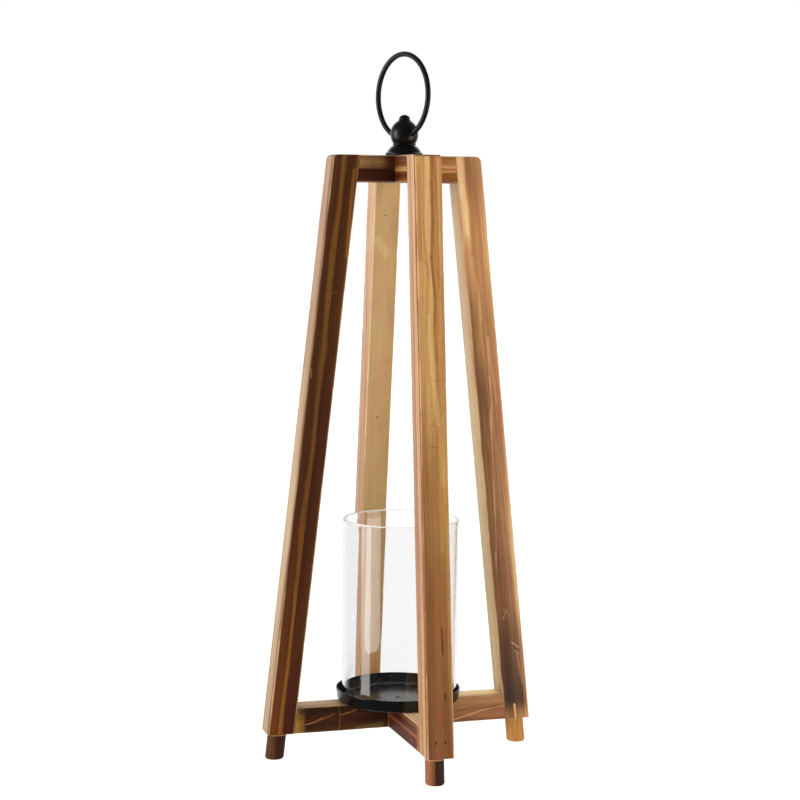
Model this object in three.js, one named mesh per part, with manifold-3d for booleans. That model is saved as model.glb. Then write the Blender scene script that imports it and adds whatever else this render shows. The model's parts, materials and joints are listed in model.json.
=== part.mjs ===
// A tall wooden lantern: four leaning legs joined by a rail cross at the top and one near the
// floor, a round tray with a glass cylinder on the lower cross, and a ring in a cast finial on top.
// Millimetres, +Z up. The origin is on the floor, under the finial. The arms lie along X and Y.
import * as THREE from 'three';
import { mergeVertices } from 'three/addons/utils/BufferGeometryUtils.js';
import Module from 'manifold-3d';

const wasm = await Module();
wasm.setup();

// Timber
const STOCK = 30; // side of the square bars, each glued up from two staves
const GAP = 0.3; // clearance between pieces that meet
const CUT_PAST = 2; // how far a cutter runs out past the surface it starts from
const EDGE = 1.2; // radius of the eased long edges
const LEG_HEIGHT = 642; // legs, measured upright between their level ends
const LEG_SPREAD_TOP = 70; // leg centre line to the lantern's axis, at the top
const LEG_SPREAD_BOTTOM = 140; // the same, at the bottom of the legs
const LEG_TOP_ROUND = 6; // rounding of a leg's outer top edge
const TOP_RAIL_HEIGHT = 30;
const BOTTOM_RAIL_HEIGHT = 29;

// Turned feet
const FOOT_LENGTH = 29.5; // below the legs
const FOOT_RADIUS = 10.6;
const FOOT_OUTSET = 1.1; // from a leg's centre line out to its foot's
const FRONT_FOOT_ASIDE = -3.1; // along +X, because the front foot is pegged in off centre
const FOOT_CHAMFER = 1.2;
const TENON_RADIUS = 6;
const TENON_LENGTH = 15;
const TENON_CHAMFER = 1;

// Nails, two through each leg into the end of each rail
const NAIL_RADIUS = 0.9;
const NAIL_HEAD_RADIUS = 1.4;
const NAIL_HEAD_LENGTH = 1.2;
const NAIL_LENGTH = 50;
const NAIL_POINT = 2; // length of the tapered point
const NAIL_SET = 0.4; // depth of the head below the leg's face
const NAIL_SPACING = 9.5;
const NAIL_HEIGHT = 18; // above the underside of the rail

// Tray and its countersunk screw
const TRAY_BASE_RADIUS = 68.8;
const TRAY_RIM_RADIUS = 70.5;
const TRAY_HEIGHT = 13.6;
const TRAY_SHEET = 1.2;
const TRAY_CORNER = 2.6;
const TRAY_SEAT_RADIUS = 60; // the candle's part of the floor, inside the glass
const TRAY_SCREW_RADIUS = 1.6;
const TRAY_SCREW_HEAD_RADIUS = 2.9;
const TRAY_SCREW_HEAD = 1.4; // depth of the conical head
const TRAY_SCREW_SET = 0.1; // depth of the head's face below the tray's floor
const TRAY_SCREW_LENGTH = 24;
const TRAY_SCREW_POINT = 4;
const TRAY_SCREW_RECESS = 3;

// Glass cylinder, open at both ends
const GLASS_RADIUS = 65.2;
const GLASS_WALL = 2.8;
const GLASS_HEIGHT = 205.5;
const GLASS_FLARE = 0.7; // outward curl of the lip
const GLASS_FLARE_HEIGHT = 8;
const GLASS_ASIDE = [1.3, -0.4]; // it stands a little off centre in the tray

// Finial: a domed base with the ball standing through it, held by a screw from below
const FINIAL_BASE_RADIUS = 20.8;
const FINIAL_BASE_LIP = 2.2;
const FINIAL_BASE_SHOULDER = 18.8; // radius where the dome starts inside the lip
const FINIAL_BASE_TOP_RADIUS = 12.6;
const FINIAL_BASE_HEIGHT = 11.1;
const FINIAL_NECK_RADIUS = 12;
const FINIAL_BEAD_RADIUS = 13.6; // bead between the base and the ball
const FINIAL_BEAD_HEIGHT = 1.9;
const BALL_RADIUS = 15.4;
const BALL_MIDDLE = 24; // height of the ball's widest place above the timber
const BALL_TOP = 36.7;
const BALL_TOP_RADIUS = 9.3;
const KNOB_RADIUS = 6.1;
const KNOB_MIDDLE = 40.4;
const FINIAL_HEIGHT = 45;
const FINIAL_SPIGOT_RADIUS = 6;
const FINIAL_SPIGOT_END = 1; // above the timber
const FINIAL_BORE_DEPTH = 14.5; // ceiling of the threaded hole above the timber
const FINIAL_SCREW_RADIUS = 2.5;
const FINIAL_SCREW_HEAD_RADIUS = 4.8;
const FINIAL_SCREW_HEAD = 3.2;
const FINIAL_SCREW_HEAD_BEVEL = 1.4;
const FINIAL_SCREW_TIP_BEVEL = 0.8;
const FINIAL_SCREW_RECESS = 5;
const FINIAL_SCREW_REACH = 13; // tip of the screw above the timber
const WASHER_RADIUS = 7.5;
const WASHER_THICKNESS = 1.2;
const WASHER_POCKET_RADIUS = 8;
const WASHER_POCKET_DEPTH = 5.4; // hides the washer and the screw's head in the rail

// Carrying ring, a closed round bar through the ball
const RING_RADIUS = 45.6; // centre line
const RING_BAR_RADIUS = 3;
const RING_HEADING = THREE.MathUtils.degToRad(-70.6); // direction of the ring's plane from +X
const RING_SIDE_LEAN = THREE.MathUtils.degToRad(4.7); // it hangs over to one side in its hole
const RING_CROSSING = 20.35; // its centre line crosses the lantern's axis this far above the timber
const RING_HOLE_RADIUS = 6.2;
const RING_HOLE_HEIGHT = 22.55; // above the timber, and the axis that the ring swings on

// Derived places
const TIMBER_TOP = FOOT_LENGTH + LEG_HEIGHT;
const TRAY_Z = FOOT_LENGTH + BOTTOM_RAIL_HEIGHT + GAP;
const GLASS_Z = TRAY_Z + TRAY_SHEET + GAP;
const LEAN_SLOPE = (LEG_SPREAD_BOTTOM - LEG_SPREAD_TOP) / LEG_HEIGHT;
const LEG_HALF = (STOCK / 2) * Math.hypot(1, LEAN_SLOPE); // half a leg's level section, along the arm
const HALF = STOCK / 2;
const FACETS = 48;
const SMALL_FACETS = 10;

const ARMS = [
  { side: 'right', turn: 0 },
  { side: 'back', turn: Math.PI / 2 },
  { side: 'left', turn: Math.PI },
  { side: 'front', turn: -Math.PI / 2 },
];

const WOOD = {
  pale: { color: 0xc99b66, roughness: 0.6, metalness: 0 },
  tan: { color: 0xb78550, roughness: 0.6, metalness: 0 },
  brown: { color: 0x8a5630, roughness: 0.6, metalness: 0 },
  dark: { color: 0x4a2812, roughness: 0.6, metalness: 0 },
};
const BLACK = { color: 0x141312, roughness: 0.42, metalness: 0.6 };
const STEEL = { color: 0x5a554e, roughness: 0.45, metalness: 0.9 };
const GLASS = { color: 0xf4f8f8, roughness: 0.03, metalness: 0, transparent: true, opacity: 0.25 };

const X = new THREE.Vector3(1, 0, 0);
const Y = new THREE.Vector3(0, 1, 0);
const Z = new THREE.Vector3(0, 0, 1);
const RUN = {
  x: new THREE.Matrix4().makeBasis(Y, Z, X),
  y: new THREE.Matrix4().makeBasis(X, Z, Y.clone().negate()),
  z: new THREE.Matrix4(),
};

// Leg pieces are drawn upright around their own centre line. LEAN stands them in the +X arm.
const LEAN = new THREE.Matrix4()
  .makeTranslation(LEG_SPREAD_BOTTOM, 0, FOOT_LENGTH)
  .multiply(new THREE.Matrix4().makeShear(0, 0, 0, 0, -LEAN_SLOPE, 0));

// Closed outline through corners [x, y, rounding]
function outline(corners) {
  const shape = new THREE.Shape();
  const count = corners.length;
  corners.forEach(([x, y, round = 0], i) => {
    const corner = new THREE.Vector2(x, y);
    const before = new THREE.Vector2(...corners[(i + count - 1) % count].slice(0, 2));
    const after = new THREE.Vector2(...corners[(i + 1) % count].slice(0, 2));
    const enter = before.sub(corner).setLength(round).add(corner);
    const leave = after.sub(corner).setLength(round).add(corner);
    if (i === 0) shape.moveTo(enter.x, enter.y);
    else shape.lineTo(enter.x, enter.y);
    if (round > 0) shape.quadraticCurveTo(x, y, leave.x, leave.y);
  });
  shape.closePath();
  return shape;
}

// Straight bar with the given section, from start over length along x, y (towards -Y) or z
function prism(shape, along, start, length) {
  const options = { depth: length, bevelEnabled: false, curveSegments: 3 };
  const geometry = new THREE.ExtrudeGeometry(shape, options);
  return geometry.translate(0, 0, start).applyMatrix4(RUN[along]);
}

// Solid of revolution about Z. The profile is [radius, height] points or a Path drawn in them.
function turned(profile, facets = FACETS) {
  const points = Array.isArray(profile)
    ? profile.map(([r, z]) => new THREE.Vector2(r, z))
    : profile.getPoints(3).map((p) => new THREE.Vector2(Math.max(p.x, 0), p.y));
  return new THREE.LatheGeometry(points, facets).rotateX(Math.PI / 2);
}

function solid(geometry) {
  const bare = geometry.clone();
  bare.deleteAttribute('normal');
  bare.deleteAttribute('uv');
  const merged = mergeVertices(bare, 1e-4);
  const vertProperties = new Float32Array(merged.attributes.position.array);
  const triVerts = new Uint32Array(merged.index.array);
  return new wasm.Manifold(new wasm.Mesh({ numProp: 3, vertProperties, triVerts }));
}

function shapeOf(manifold) {
  const mesh = manifold.getMesh();
  const geometry = new THREE.BufferGeometry();
  geometry.setAttribute('position', new THREE.BufferAttribute(new Float32Array(mesh.vertProperties), 3));
  geometry.setIndex(new THREE.BufferAttribute(new Uint32Array(mesh.triVerts), 1));
  geometry.computeVertexNormals();
  return geometry;
}

function cut(body, cutters) {
  return cutters.reduce((rest, cutter) => rest.subtract(solid(cutter)), solid(body));
}

function piece(parent, name, geometry, finish) {
  const mesh = new THREE.Mesh(geometry, new THREE.MeshStandardMaterial(finish));
  mesh.name = name;
  parent.add(mesh);
  return mesh;
}

// Nail along -X from the leg's outer face, drawn upright with the leg. room widens it to a hole,
// which runs out past the leg's face and has a blunt end.
function nail(y, z, room = 0) {
  const mouth = room > 0 ? CUT_PAST : -NAIL_SET;
  const head = NAIL_SET + NAIL_HEAD_LENGTH + room;
  const tip = NAIL_SET + NAIL_LENGTH + room;
  const taper = room > 0 ? NAIL_POINT / 20 : NAIL_POINT;
  const profile = [
    [0, -mouth],
    [NAIL_HEAD_RADIUS + room, -mouth],
    [NAIL_HEAD_RADIUS + room, head],
    [NAIL_RADIUS + room, head],
    [NAIL_RADIUS + room, tip - taper],
    [0, tip],
  ];
  return turned(profile, SMALL_FACETS).rotateY(-Math.PI / 2).translate(LEG_HALF, y, z);
}

const RAILS = [
  { name: 'top', floor: TIMBER_TOP - TOP_RAIL_HEIGHT, height: TOP_RAIL_HEIGHT },
  { name: 'bottom', floor: FOOT_LENGTH, height: BOTTOM_RAIL_HEIGHT },
];
const NAIL_PLACES = RAILS.flatMap(({ name, floor }) => [-1, 1].map((way, i) => ({
  name: `nail_${name}`,
  number: i + 1,
  y: (way * NAIL_SPACING) / 2,
  z: floor - FOOT_LENGTH + NAIL_HEIGHT,
})));
const nailHoles = () => NAIL_PLACES.map(({ y, z }) => nail(y, z, GAP));

// A foot's axis from the leg's centre line, in the leg's own frame
function footPlace(side) {
  return [FOOT_OUTSET, side === 'front' ? FRONT_FOOT_ASIDE : 0, 0];
}

// Each leg is an outer and an inner stave, with part of the foot's tenon in each
function addLeg(arm, side) {
  const socketRadius = TENON_RADIUS + GAP;
  const socketDepth = TENON_LENGTH + GAP;
  const socket = new THREE.CylinderGeometry(socketRadius, socketRadius, 2 * socketDepth, 24);
  socket.rotateX(Math.PI / 2).translate(...footPlace(side));
  const holes = [...nailHoles(), socket];

  const outerSection = outline([
    [GAP / 2, -HALF],
    [LEG_HALF, -HALF, EDGE],
    [LEG_HALF, HALF, EDGE],
    [GAP / 2, HALF],
  ]);
  const outerProfile = outline([
    [GAP / 2, 0],
    [LEG_HALF, 0],
    [LEG_HALF, LEG_HEIGHT, LEG_TOP_ROUND],
    [GAP / 2, LEG_HEIGHT],
  ]);
  const outer = cut(prism(outerSection, 'z', 0, LEG_HEIGHT), holes)
    .intersect(solid(prism(outerProfile, 'y', -STOCK, 2 * STOCK)));

  const innerSection = outline([
    [-LEG_HALF, -HALF, EDGE],
    [-GAP / 2, -HALF],
    [-GAP / 2, HALF],
    [-LEG_HALF, HALF, EDGE],
  ]);
  const inner = cut(prism(innerSection, 'z', 0, LEG_HEIGHT), holes);

  const outerTones = { front: 'tan', right: 'brown', back: 'tan', left: 'brown' };
  const innerTones = { front: 'pale', right: 'pale', back: 'pale', left: 'dark' };
  piece(arm, `leg_${side}_outer`, shapeOf(outer).applyMatrix4(LEAN), WOOD[outerTones[side]]);
  piece(arm, `leg_${side}_inner`, shapeOf(inner).applyMatrix4(LEAN), WOOD[innerTones[side]]);
}

function addFoot(arm, side) {
  const profile = [
    [0, -FOOT_LENGTH],
    [FOOT_RADIUS - FOOT_CHAMFER, -FOOT_LENGTH],
    [FOOT_RADIUS, FOOT_CHAMFER - FOOT_LENGTH],
    [FOOT_RADIUS, -GAP - FOOT_CHAMFER],
    [FOOT_RADIUS - FOOT_CHAMFER, -GAP],
    [TENON_RADIUS, -GAP],
    [TENON_RADIUS, TENON_LENGTH - TENON_CHAMFER],
    [TENON_RADIUS - TENON_CHAMFER, TENON_LENGTH],
    [0, TENON_LENGTH],
  ];
  const tones = { front: 'brown', right: 'tan', back: 'brown', left: 'dark' };
  const foot = turned(profile, 24).translate(...footPlace(side)).applyMatrix4(LEAN);
  piece(arm, `foot_${side}`, foot, WOOD[tones[side]]);
}

function addNails(arm, side) {
  NAIL_PLACES.forEach(({ name, number, y, z }) => {
    piece(arm, `${name}_${side}_${number}`, nail(y, z).applyMatrix4(LEAN), STEEL);
  });
}

// How far a rail reaches along its arm at height z before it meets the leaning leg
function reach(z) {
  return LEG_SPREAD_BOTTOM - LEAN_SLOPE * (z - FOOT_LENGTH) - LEG_HALF - GAP;
}

// One stave of a rail cross. A through stave spans two legs, and a short one ends at the crossing.
function railStave({ floor, height }, level, through, hole) {
  const middle = floor + height / 2;
  const low = level === 'upper' ? middle + GAP / 2 : floor;
  const high = level === 'upper' ? floor + height : middle - GAP / 2;
  const [lowEdge, highEdge] = level === 'upper' ? [0, EDGE] : [EDGE, 0];
  const near = (z) => (through ? -reach(z) : HALF + GAP);
  const section = outline([
    [-HALF, low, lowEdge],
    [HALF, low, lowEdge],
    [HALF, high, highEdge],
    [-HALF, high, highEdge],
  ]);
  const profile = outline([
    [near(low), low],
    [reach(low), low],
    [reach(high), high],
    [near(high), high],
  ]);
  const holes = nailHoles().map((one) => one.applyMatrix4(LEAN));
  const farHoles = through ? holes.map((one) => one.clone().rotateZ(Math.PI)) : [];
  const bar = prism(section, 'x', -LEG_SPREAD_BOTTOM, 2 * LEG_SPREAD_BOTTOM);
  return cut(bar, [...holes, ...farHoles, ...(hole && through ? [hole] : [])])
    .intersect(solid(prism(profile, 'y', -STOCK, 2 * STOCK)));
}

// Pocket in the underside of the top rails for the finial's washer and the head of its screw
function washerPocket() {
  const depth = WASHER_POCKET_DEPTH + CUT_PAST;
  const pocket = new THREE.CylinderGeometry(WASHER_POCKET_RADIUS, WASHER_POCKET_RADIUS, depth, 24);
  return pocket.rotateX(Math.PI / 2).translate(0, 0, TIMBER_TOP - TOP_RAIL_HEIGHT - CUT_PAST + depth / 2);
}

// The upper stave runs through from left to right, and the lower one from front to back
function addRails(root, arms) {
  const shortTones = { right: 'brown', left: 'dark', front: 'brown', back: 'tan' };
  RAILS.forEach((rail) => {
    const top = rail.name === 'top';
    const radius = top ? FINIAL_SCREW_RADIUS + GAP : TRAY_SCREW_RADIUS + GAP;
    const bottomOfHole = top ? rail.floor - CUT_PAST : TRAY_Z - TRAY_SCREW_LENGTH - GAP;
    const depth = TIMBER_TOP + CUT_PAST - bottomOfHole;
    const hole = new THREE.CylinderGeometry(radius, radius, depth, SMALL_FACETS);
    hole.rotateX(Math.PI / 2).translate(0, 0, bottomOfHole + depth / 2);

    const upper = railStave(rail, 'upper', true, hole);
    piece(root, `${rail.name}_rail_left_right_upper`, shapeOf(upper), WOOD[top ? 'brown' : 'pale']);
    const plain = railStave(rail, 'lower', true, hole);
    const lower = shapeOf(top ? plain.subtract(solid(washerPocket())) : plain).rotateZ(Math.PI / 2);
    piece(root, `${rail.name}_rail_front_back_lower`, lower, WOOD.dark);
    arms.forEach(({ side, group }) => {
      const level = side === 'left' || side === 'right' ? 'lower' : 'upper';
      const short = shapeOf(railStave(rail, level, false));
      piece(group, `${rail.name}_rail_${side}_${level}`, short, WOOD[shortTones[side]]);
    });
  });
}

// Cross recess for a screw driven along Z, centred on the face at height z
function crossRecess(size, z) {
  return [0, Math.PI / 2].map((turn) => (
    new THREE.BoxGeometry(size, size / 4, size / 2).rotateZ(turn).translate(0, 0, z)
  ));
}

function addTray(root) {
  const flare = (TRAY_RIM_RADIUS - TRAY_BASE_RADIUS) / TRAY_HEIGHT;
  const corner = TRAY_BASE_RADIUS - TRAY_CORNER;
  const outside = TRAY_BASE_RADIUS + flare * TRAY_CORNER;
  const rim = TRAY_RIM_RADIUS;
  const rounding = TRAY_SHEET / 2;
  const coneSlope = (TRAY_SCREW_HEAD_RADIUS - TRAY_SCREW_RADIUS) / TRAY_SCREW_HEAD;
  const mouth = TRAY_SCREW_HEAD_RADIUS + GAP;
  const throat = mouth - TRAY_SHEET * coneSlope;

  const profile = new THREE.Path();
  profile.moveTo(throat, 0);
  profile.lineTo(corner, 0);
  profile.quadraticCurveTo(TRAY_BASE_RADIUS, 0, outside, TRAY_CORNER);
  profile.lineTo(rim, TRAY_HEIGHT - rounding);
  profile.quadraticCurveTo(rim, TRAY_HEIGHT, rim - rounding, TRAY_HEIGHT);
  profile.lineTo(rim - TRAY_SHEET, TRAY_HEIGHT - rounding);
  profile.lineTo(outside - TRAY_SHEET, TRAY_CORNER);
  profile.quadraticCurveTo(TRAY_BASE_RADIUS - TRAY_SHEET, TRAY_SHEET, corner, TRAY_SHEET);
  profile.lineTo(TRAY_SEAT_RADIUS, TRAY_SHEET);
  profile.lineTo(mouth, TRAY_SHEET);
  profile.lineTo(throat, 0);
  piece(root, 'tray', turned(profile), BLACK).position.z = TRAY_Z;

  const tip = TRAY_SHEET - TRAY_SCREW_LENGTH;
  const face = TRAY_SHEET - TRAY_SCREW_SET;
  const screw = turned([
    [0, tip],
    [TRAY_SCREW_RADIUS, tip + TRAY_SCREW_POINT],
    [TRAY_SCREW_RADIUS, face - TRAY_SCREW_HEAD],
    [TRAY_SCREW_HEAD_RADIUS, face],
    [0, face],
  ], 16);
  const slotted = shapeOf(cut(screw, crossRecess(TRAY_SCREW_RECESS, face)));
  piece(root, 'tray_screw', slotted, BLACK).position.z = TRAY_Z;
}

function addGlass(root) {
  const inside = GLASS_RADIUS - GLASS_WALL;
  const round = GLASS_WALL / 2;
  const neck = GLASS_HEIGHT - GLASS_FLARE_HEIGHT;
  const lip = GLASS_RADIUS + GLASS_FLARE;
  const profile = new THREE.Path();
  profile.moveTo(inside, round);
  profile.quadraticCurveTo(inside, 0, inside + round, 0);
  profile.quadraticCurveTo(GLASS_RADIUS, 0, GLASS_RADIUS, round);
  profile.lineTo(GLASS_RADIUS, neck);
  profile.quadraticCurveTo(GLASS_RADIUS, GLASS_HEIGHT - GLASS_FLARE_HEIGHT / 2, lip, GLASS_HEIGHT - round);
  profile.quadraticCurveTo(lip, GLASS_HEIGHT, lip - round, GLASS_HEIGHT);
  profile.quadraticCurveTo(inside + GLASS_FLARE, GLASS_HEIGHT, inside + GLASS_FLARE, GLASS_HEIGHT - round);
  profile.quadraticCurveTo(inside, GLASS_HEIGHT - GLASS_FLARE_HEIGHT / 2, inside, neck);
  profile.lineTo(inside, round);
  piece(root, 'glass_cylinder', turned(profile), GLASS).position.set(...GLASS_ASIDE, GLASS_Z);
}

// Heights in the finial are measured from the top of the timber
function addFinial(root) {
  const finial = new THREE.Group();
  finial.position.z = TIMBER_TOP;
  root.add(finial);

  const bore = FINIAL_SPIGOT_RADIUS + GAP;
  const lip = FINIAL_BASE_RADIUS;
  const shoulder = FINIAL_BASE_SHOULDER;
  const rise = FINIAL_BASE_HEIGHT - FINIAL_BASE_LIP;
  const base = new THREE.Path();
  base.moveTo(bore, GAP);
  base.lineTo(lip, GAP);
  base.lineTo(lip, FINIAL_BASE_LIP);
  base.quadraticCurveTo(lip, FINIAL_BASE_LIP + rise / 6, shoulder, FINIAL_BASE_LIP + rise / 5);
  base.bezierCurveTo(
    shoulder - 0.2 * rise,
    FINIAL_BASE_LIP + 0.48 * rise,
    FINIAL_BASE_TOP_RADIUS + 0.4 * rise,
    FINIAL_BASE_LIP + 0.81 * rise,
    FINIAL_BASE_TOP_RADIUS,
    FINIAL_BASE_HEIGHT,
  );
  base.lineTo(bore, FINIAL_BASE_HEIGHT);
  base.lineTo(bore, GAP);
  piece(finial, 'finial_base', turned(base, 32), BLACK);

  const thread = FINIAL_SCREW_RADIUS + GAP;
  const neckBottom = FINIAL_BASE_HEIGHT + GAP;
  const neckTop = neckBottom + FINIAL_BEAD_HEIGHT;
  const belly = (BALL_MIDDLE - neckTop) * 0.43;
  const crown = (BALL_TOP - BALL_MIDDLE) * 0.38;
  const body = new THREE.Path();
  body.moveTo(0, FINIAL_BORE_DEPTH);
  body.lineTo(thread, FINIAL_BORE_DEPTH);
  body.lineTo(thread, FINIAL_SPIGOT_END);
  body.lineTo(FINIAL_SPIGOT_RADIUS, FINIAL_SPIGOT_END);
  body.lineTo(FINIAL_SPIGOT_RADIUS, neckBottom);
  body.lineTo(FINIAL_NECK_RADIUS, neckBottom);
  body.quadraticCurveTo(FINIAL_BEAD_RADIUS, (neckBottom + neckTop) / 2, FINIAL_NECK_RADIUS, neckTop);
  body.bezierCurveTo(
    FINIAL_BEAD_RADIUS, neckTop + belly / 2,
    BALL_RADIUS, BALL_MIDDLE - belly,
    BALL_RADIUS, BALL_MIDDLE,
  );
  body.bezierCurveTo(
    BALL_RADIUS, BALL_MIDDLE + crown,
    BALL_TOP_RADIUS + crown, BALL_TOP - crown * 0.8,
    BALL_TOP_RADIUS, BALL_TOP,
  );
  body.quadraticCurveTo(KNOB_RADIUS, (BALL_TOP + KNOB_MIDDLE) / 2, KNOB_RADIUS, KNOB_MIDDLE);
  body.quadraticCurveTo(KNOB_RADIUS, FINIAL_HEIGHT, 0, FINIAL_HEIGHT);
  const holeRadius = RING_HOLE_RADIUS;
  const hole = new THREE.CylinderGeometry(holeRadius, holeRadius, 4 * BALL_RADIUS, 24);
  hole.rotateZ(Math.PI / 2).rotateZ(RING_HEADING).translate(0, 0, RING_HOLE_HEIGHT);
  piece(finial, 'finial_body', shapeOf(cut(turned(body, 32), [hole])), BLACK);

  const under = WASHER_POCKET_DEPTH - TOP_RAIL_HEIGHT - GAP;
  const washer = turned([
    [thread, under - WASHER_THICKNESS],
    [WASHER_RADIUS, under - WASHER_THICKNESS],
    [WASHER_RADIUS, under],
    [thread, under],
    [thread, under - WASHER_THICKNESS],
  ], 24);
  piece(finial, 'finial_washer', washer, STEEL);

  const seat = under - WASHER_THICKNESS - GAP;
  const screw = turned([
    [0, seat - FINIAL_SCREW_HEAD],
    [FINIAL_SCREW_HEAD_RADIUS - FINIAL_SCREW_HEAD_BEVEL, seat - FINIAL_SCREW_HEAD],
    [FINIAL_SCREW_HEAD_RADIUS, seat - FINIAL_SCREW_HEAD + FINIAL_SCREW_HEAD_BEVEL],
    [FINIAL_SCREW_HEAD_RADIUS, seat],
    [FINIAL_SCREW_RADIUS, seat],
    [FINIAL_SCREW_RADIUS, FINIAL_SCREW_REACH - FINIAL_SCREW_TIP_BEVEL],
    [FINIAL_SCREW_RADIUS - FINIAL_SCREW_TIP_BEVEL, FINIAL_SCREW_REACH],
    [0, FINIAL_SCREW_REACH],
  ], 16);
  const recess = crossRecess(FINIAL_SCREW_RECESS, seat - FINIAL_SCREW_HEAD);
  piece(finial, 'finial_screw', shapeOf(cut(screw, recess)), STEEL);

  const ring = new THREE.TorusGeometry(RING_RADIUS, RING_BAR_RADIUS, 10, 60);
  const carryRing = piece(finial, 'carry_ring', ring, BLACK);
  const sideways = -RING_RADIUS * Math.sin(RING_SIDE_LEAN);
  carryRing.position.set(
    sideways * Math.cos(RING_HEADING),
    sideways * Math.sin(RING_HEADING),
    RING_CROSSING + RING_RADIUS * Math.cos(RING_SIDE_LEAN),
  );
  carryRing.rotation.set(Math.PI / 2, 0, RING_HEADING, 'ZYX');
}

const lantern = new THREE.Group();
const arms = ARMS.map(({ side, turn }) => {
  const group = new THREE.Group();
  group.rotation.z = turn;
  lantern.add(group);
  return { side, group };
});
arms.forEach(({ side, group }) => {
  addLeg(group, side);
  addFoot(group, side);
  addNails(group, side);
});
addRails(lantern, arms);
addTray(lantern);
addGlass(lantern);
addFinial(lantern);

export default lantern;
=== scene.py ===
"""A tall wooden candle lantern: four leaning legs, two rail crosses, turned feet, a glass cylinder in a
black tray, and a black finial with a carrying ring. Metres, +Z up, origin on the floor under the finial."""
import json
import math
import random

import bmesh
import bpy
from mathutils import Matrix, Vector, noise


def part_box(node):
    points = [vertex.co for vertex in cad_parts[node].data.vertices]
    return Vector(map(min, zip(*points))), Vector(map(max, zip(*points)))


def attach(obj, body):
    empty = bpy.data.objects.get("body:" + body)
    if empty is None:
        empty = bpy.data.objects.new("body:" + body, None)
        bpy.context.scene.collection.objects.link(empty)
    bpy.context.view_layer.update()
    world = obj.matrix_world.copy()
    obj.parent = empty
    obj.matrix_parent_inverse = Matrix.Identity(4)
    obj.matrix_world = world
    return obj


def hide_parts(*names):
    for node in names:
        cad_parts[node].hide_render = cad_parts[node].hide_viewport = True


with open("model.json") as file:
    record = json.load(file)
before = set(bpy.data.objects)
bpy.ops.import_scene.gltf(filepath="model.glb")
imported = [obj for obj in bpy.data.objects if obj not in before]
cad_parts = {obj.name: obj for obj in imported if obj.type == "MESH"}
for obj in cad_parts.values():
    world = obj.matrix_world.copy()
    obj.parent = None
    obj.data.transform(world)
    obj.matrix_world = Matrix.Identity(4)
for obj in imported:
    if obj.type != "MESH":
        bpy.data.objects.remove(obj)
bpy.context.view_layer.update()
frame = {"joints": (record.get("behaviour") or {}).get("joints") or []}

MM = 0.001
EDGE = 1.3 * MM  # eased long edges
GLUE_EDGE = 0.25 * MM  # edges along a glue line
END_EDGE = 0.5 * MM  # eased ends
STATION = 3 * MM  # spacing of the rings of points along a timber
WAVE = 0.1 * MM  # unevenness of the sanded faces
NAIL_CLEARANCE = 0.15 * MM
GLUE_LINE = 0.1 * MM  # what shows of a glued joint
JOINT = 0.3 * MM  # the gap that the CAD nodes keep

# Round sizes that a box doesn't give
TENON_RADIUS = 6 * MM
FOOT_OUTSET = 1.1 * MM  # from a leg's centre line out to its foot's
FRONT_FOOT_ASIDE = -3.1 * MM  # along +X
TRAY_FLARE = 1.7 * MM
TRAY_SHEET = 1.2 * MM
TRAY_SCREW_RADIUS = 1.6 * MM
TRAY_SCREW_HEAD_RADIUS = 2.9 * MM
GLASS_WALL = 2.8 * MM
GLASS_FLARE = 0.7 * MM
FINIAL_SPIGOT_RADIUS = 6 * MM
FINIAL_SCREW_RADIUS = 2.5 * MM
WASHER_POCKET_RADIUS = 8 * MM
WASHER_POCKET_DEPTH = 5.4 * MM
RING_HOLE_RADIUS = 6.2 * MM
RING_BAR_RADIUS = 3 * MM

ARMS = {
    "right": Vector((1, 0, 0)),
    "back": Vector((0, 1, 0)),
    "left": Vector((-1, 0, 0)),
    "front": Vector((0, -1, 0)),
}
UP = Vector((0, 0, 1))

# The leaning legs, measured on the right one
LEG_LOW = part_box("leg_right_inner")[0]
LEG_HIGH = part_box("leg_right_outer")[1]
LEG_HEIGHT = LEG_HIGH.z - LEG_LOW.z
HALF = LEG_HIGH.y
LEAN = (LEG_HIGH.x - LEG_LOW.x - 2 * HALF) / LEG_HEIGHT  # a first value, because LEG_HALF needs one
LEG_HALF = HALF * math.hypot(1, LEAN)  # half a leg's level section, along its arm
LEAN = (LEG_HIGH.x - LEG_LOW.x - 2 * LEG_HALF) / LEG_HEIGHT
SPREAD = LEG_HIGH.x - LEG_HALF  # centre line of a leg at its bottom, from the lantern's axis
LEG_TOP_ROUND = 6 * MM


# ---------------------------------------------------------------- meshes

SHARP = 40  # degrees between faces that aren't shaded as one


def add_mesh(name, points, faces, sharp=SHARP):
    mesh = bpy.data.meshes.new(name)
    mesh.from_pydata(points, [], faces)
    mesh.validate()
    mesh.shade_smooth()
    mesh.set_sharp_from_angle(angle=math.radians(sharp))
    obj = bpy.data.objects.new(name, mesh)
    bpy.context.collection.objects.link(obj)
    return obj


def rounded(corners, closed=False, steps=5):
    """Points along an outline whose corners are (x, y) or (x, y, radius)."""
    points = []
    last = len(corners) - 1
    for i, corner in enumerate(corners):
        here = Vector(corner[:2])
        radius = corner[2] if len(corner) > 2 else 0
        if radius <= 0 or (not closed and i in (0, last)):
            points.append(here)
            continue
        back = Vector(corners[i - 1][:2]) - here
        ahead = Vector(corners[(i + 1) % len(corners)][:2]) - here
        half_angle = back.angle(ahead) / 2
        cut = min(radius / math.tan(half_angle), 0.499 * back.length, 0.499 * ahead.length)
        radius = cut * math.tan(half_angle)
        middle = (back.normalized() + ahead.normalized()).normalized()
        centre = here + middle * (radius / math.sin(half_angle))
        start = here + back.normalized() * cut - centre
        end = here + ahead.normalized() * cut - centre
        turn = start.angle_signed(end)
        for k in range(steps + 1):
            angle = -turn * k / steps
            c, s = math.cos(angle), math.sin(angle)
            points.append(centre + Vector((c * start.x - s * start.y, s * start.x + c * start.y)))
    return points


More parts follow.
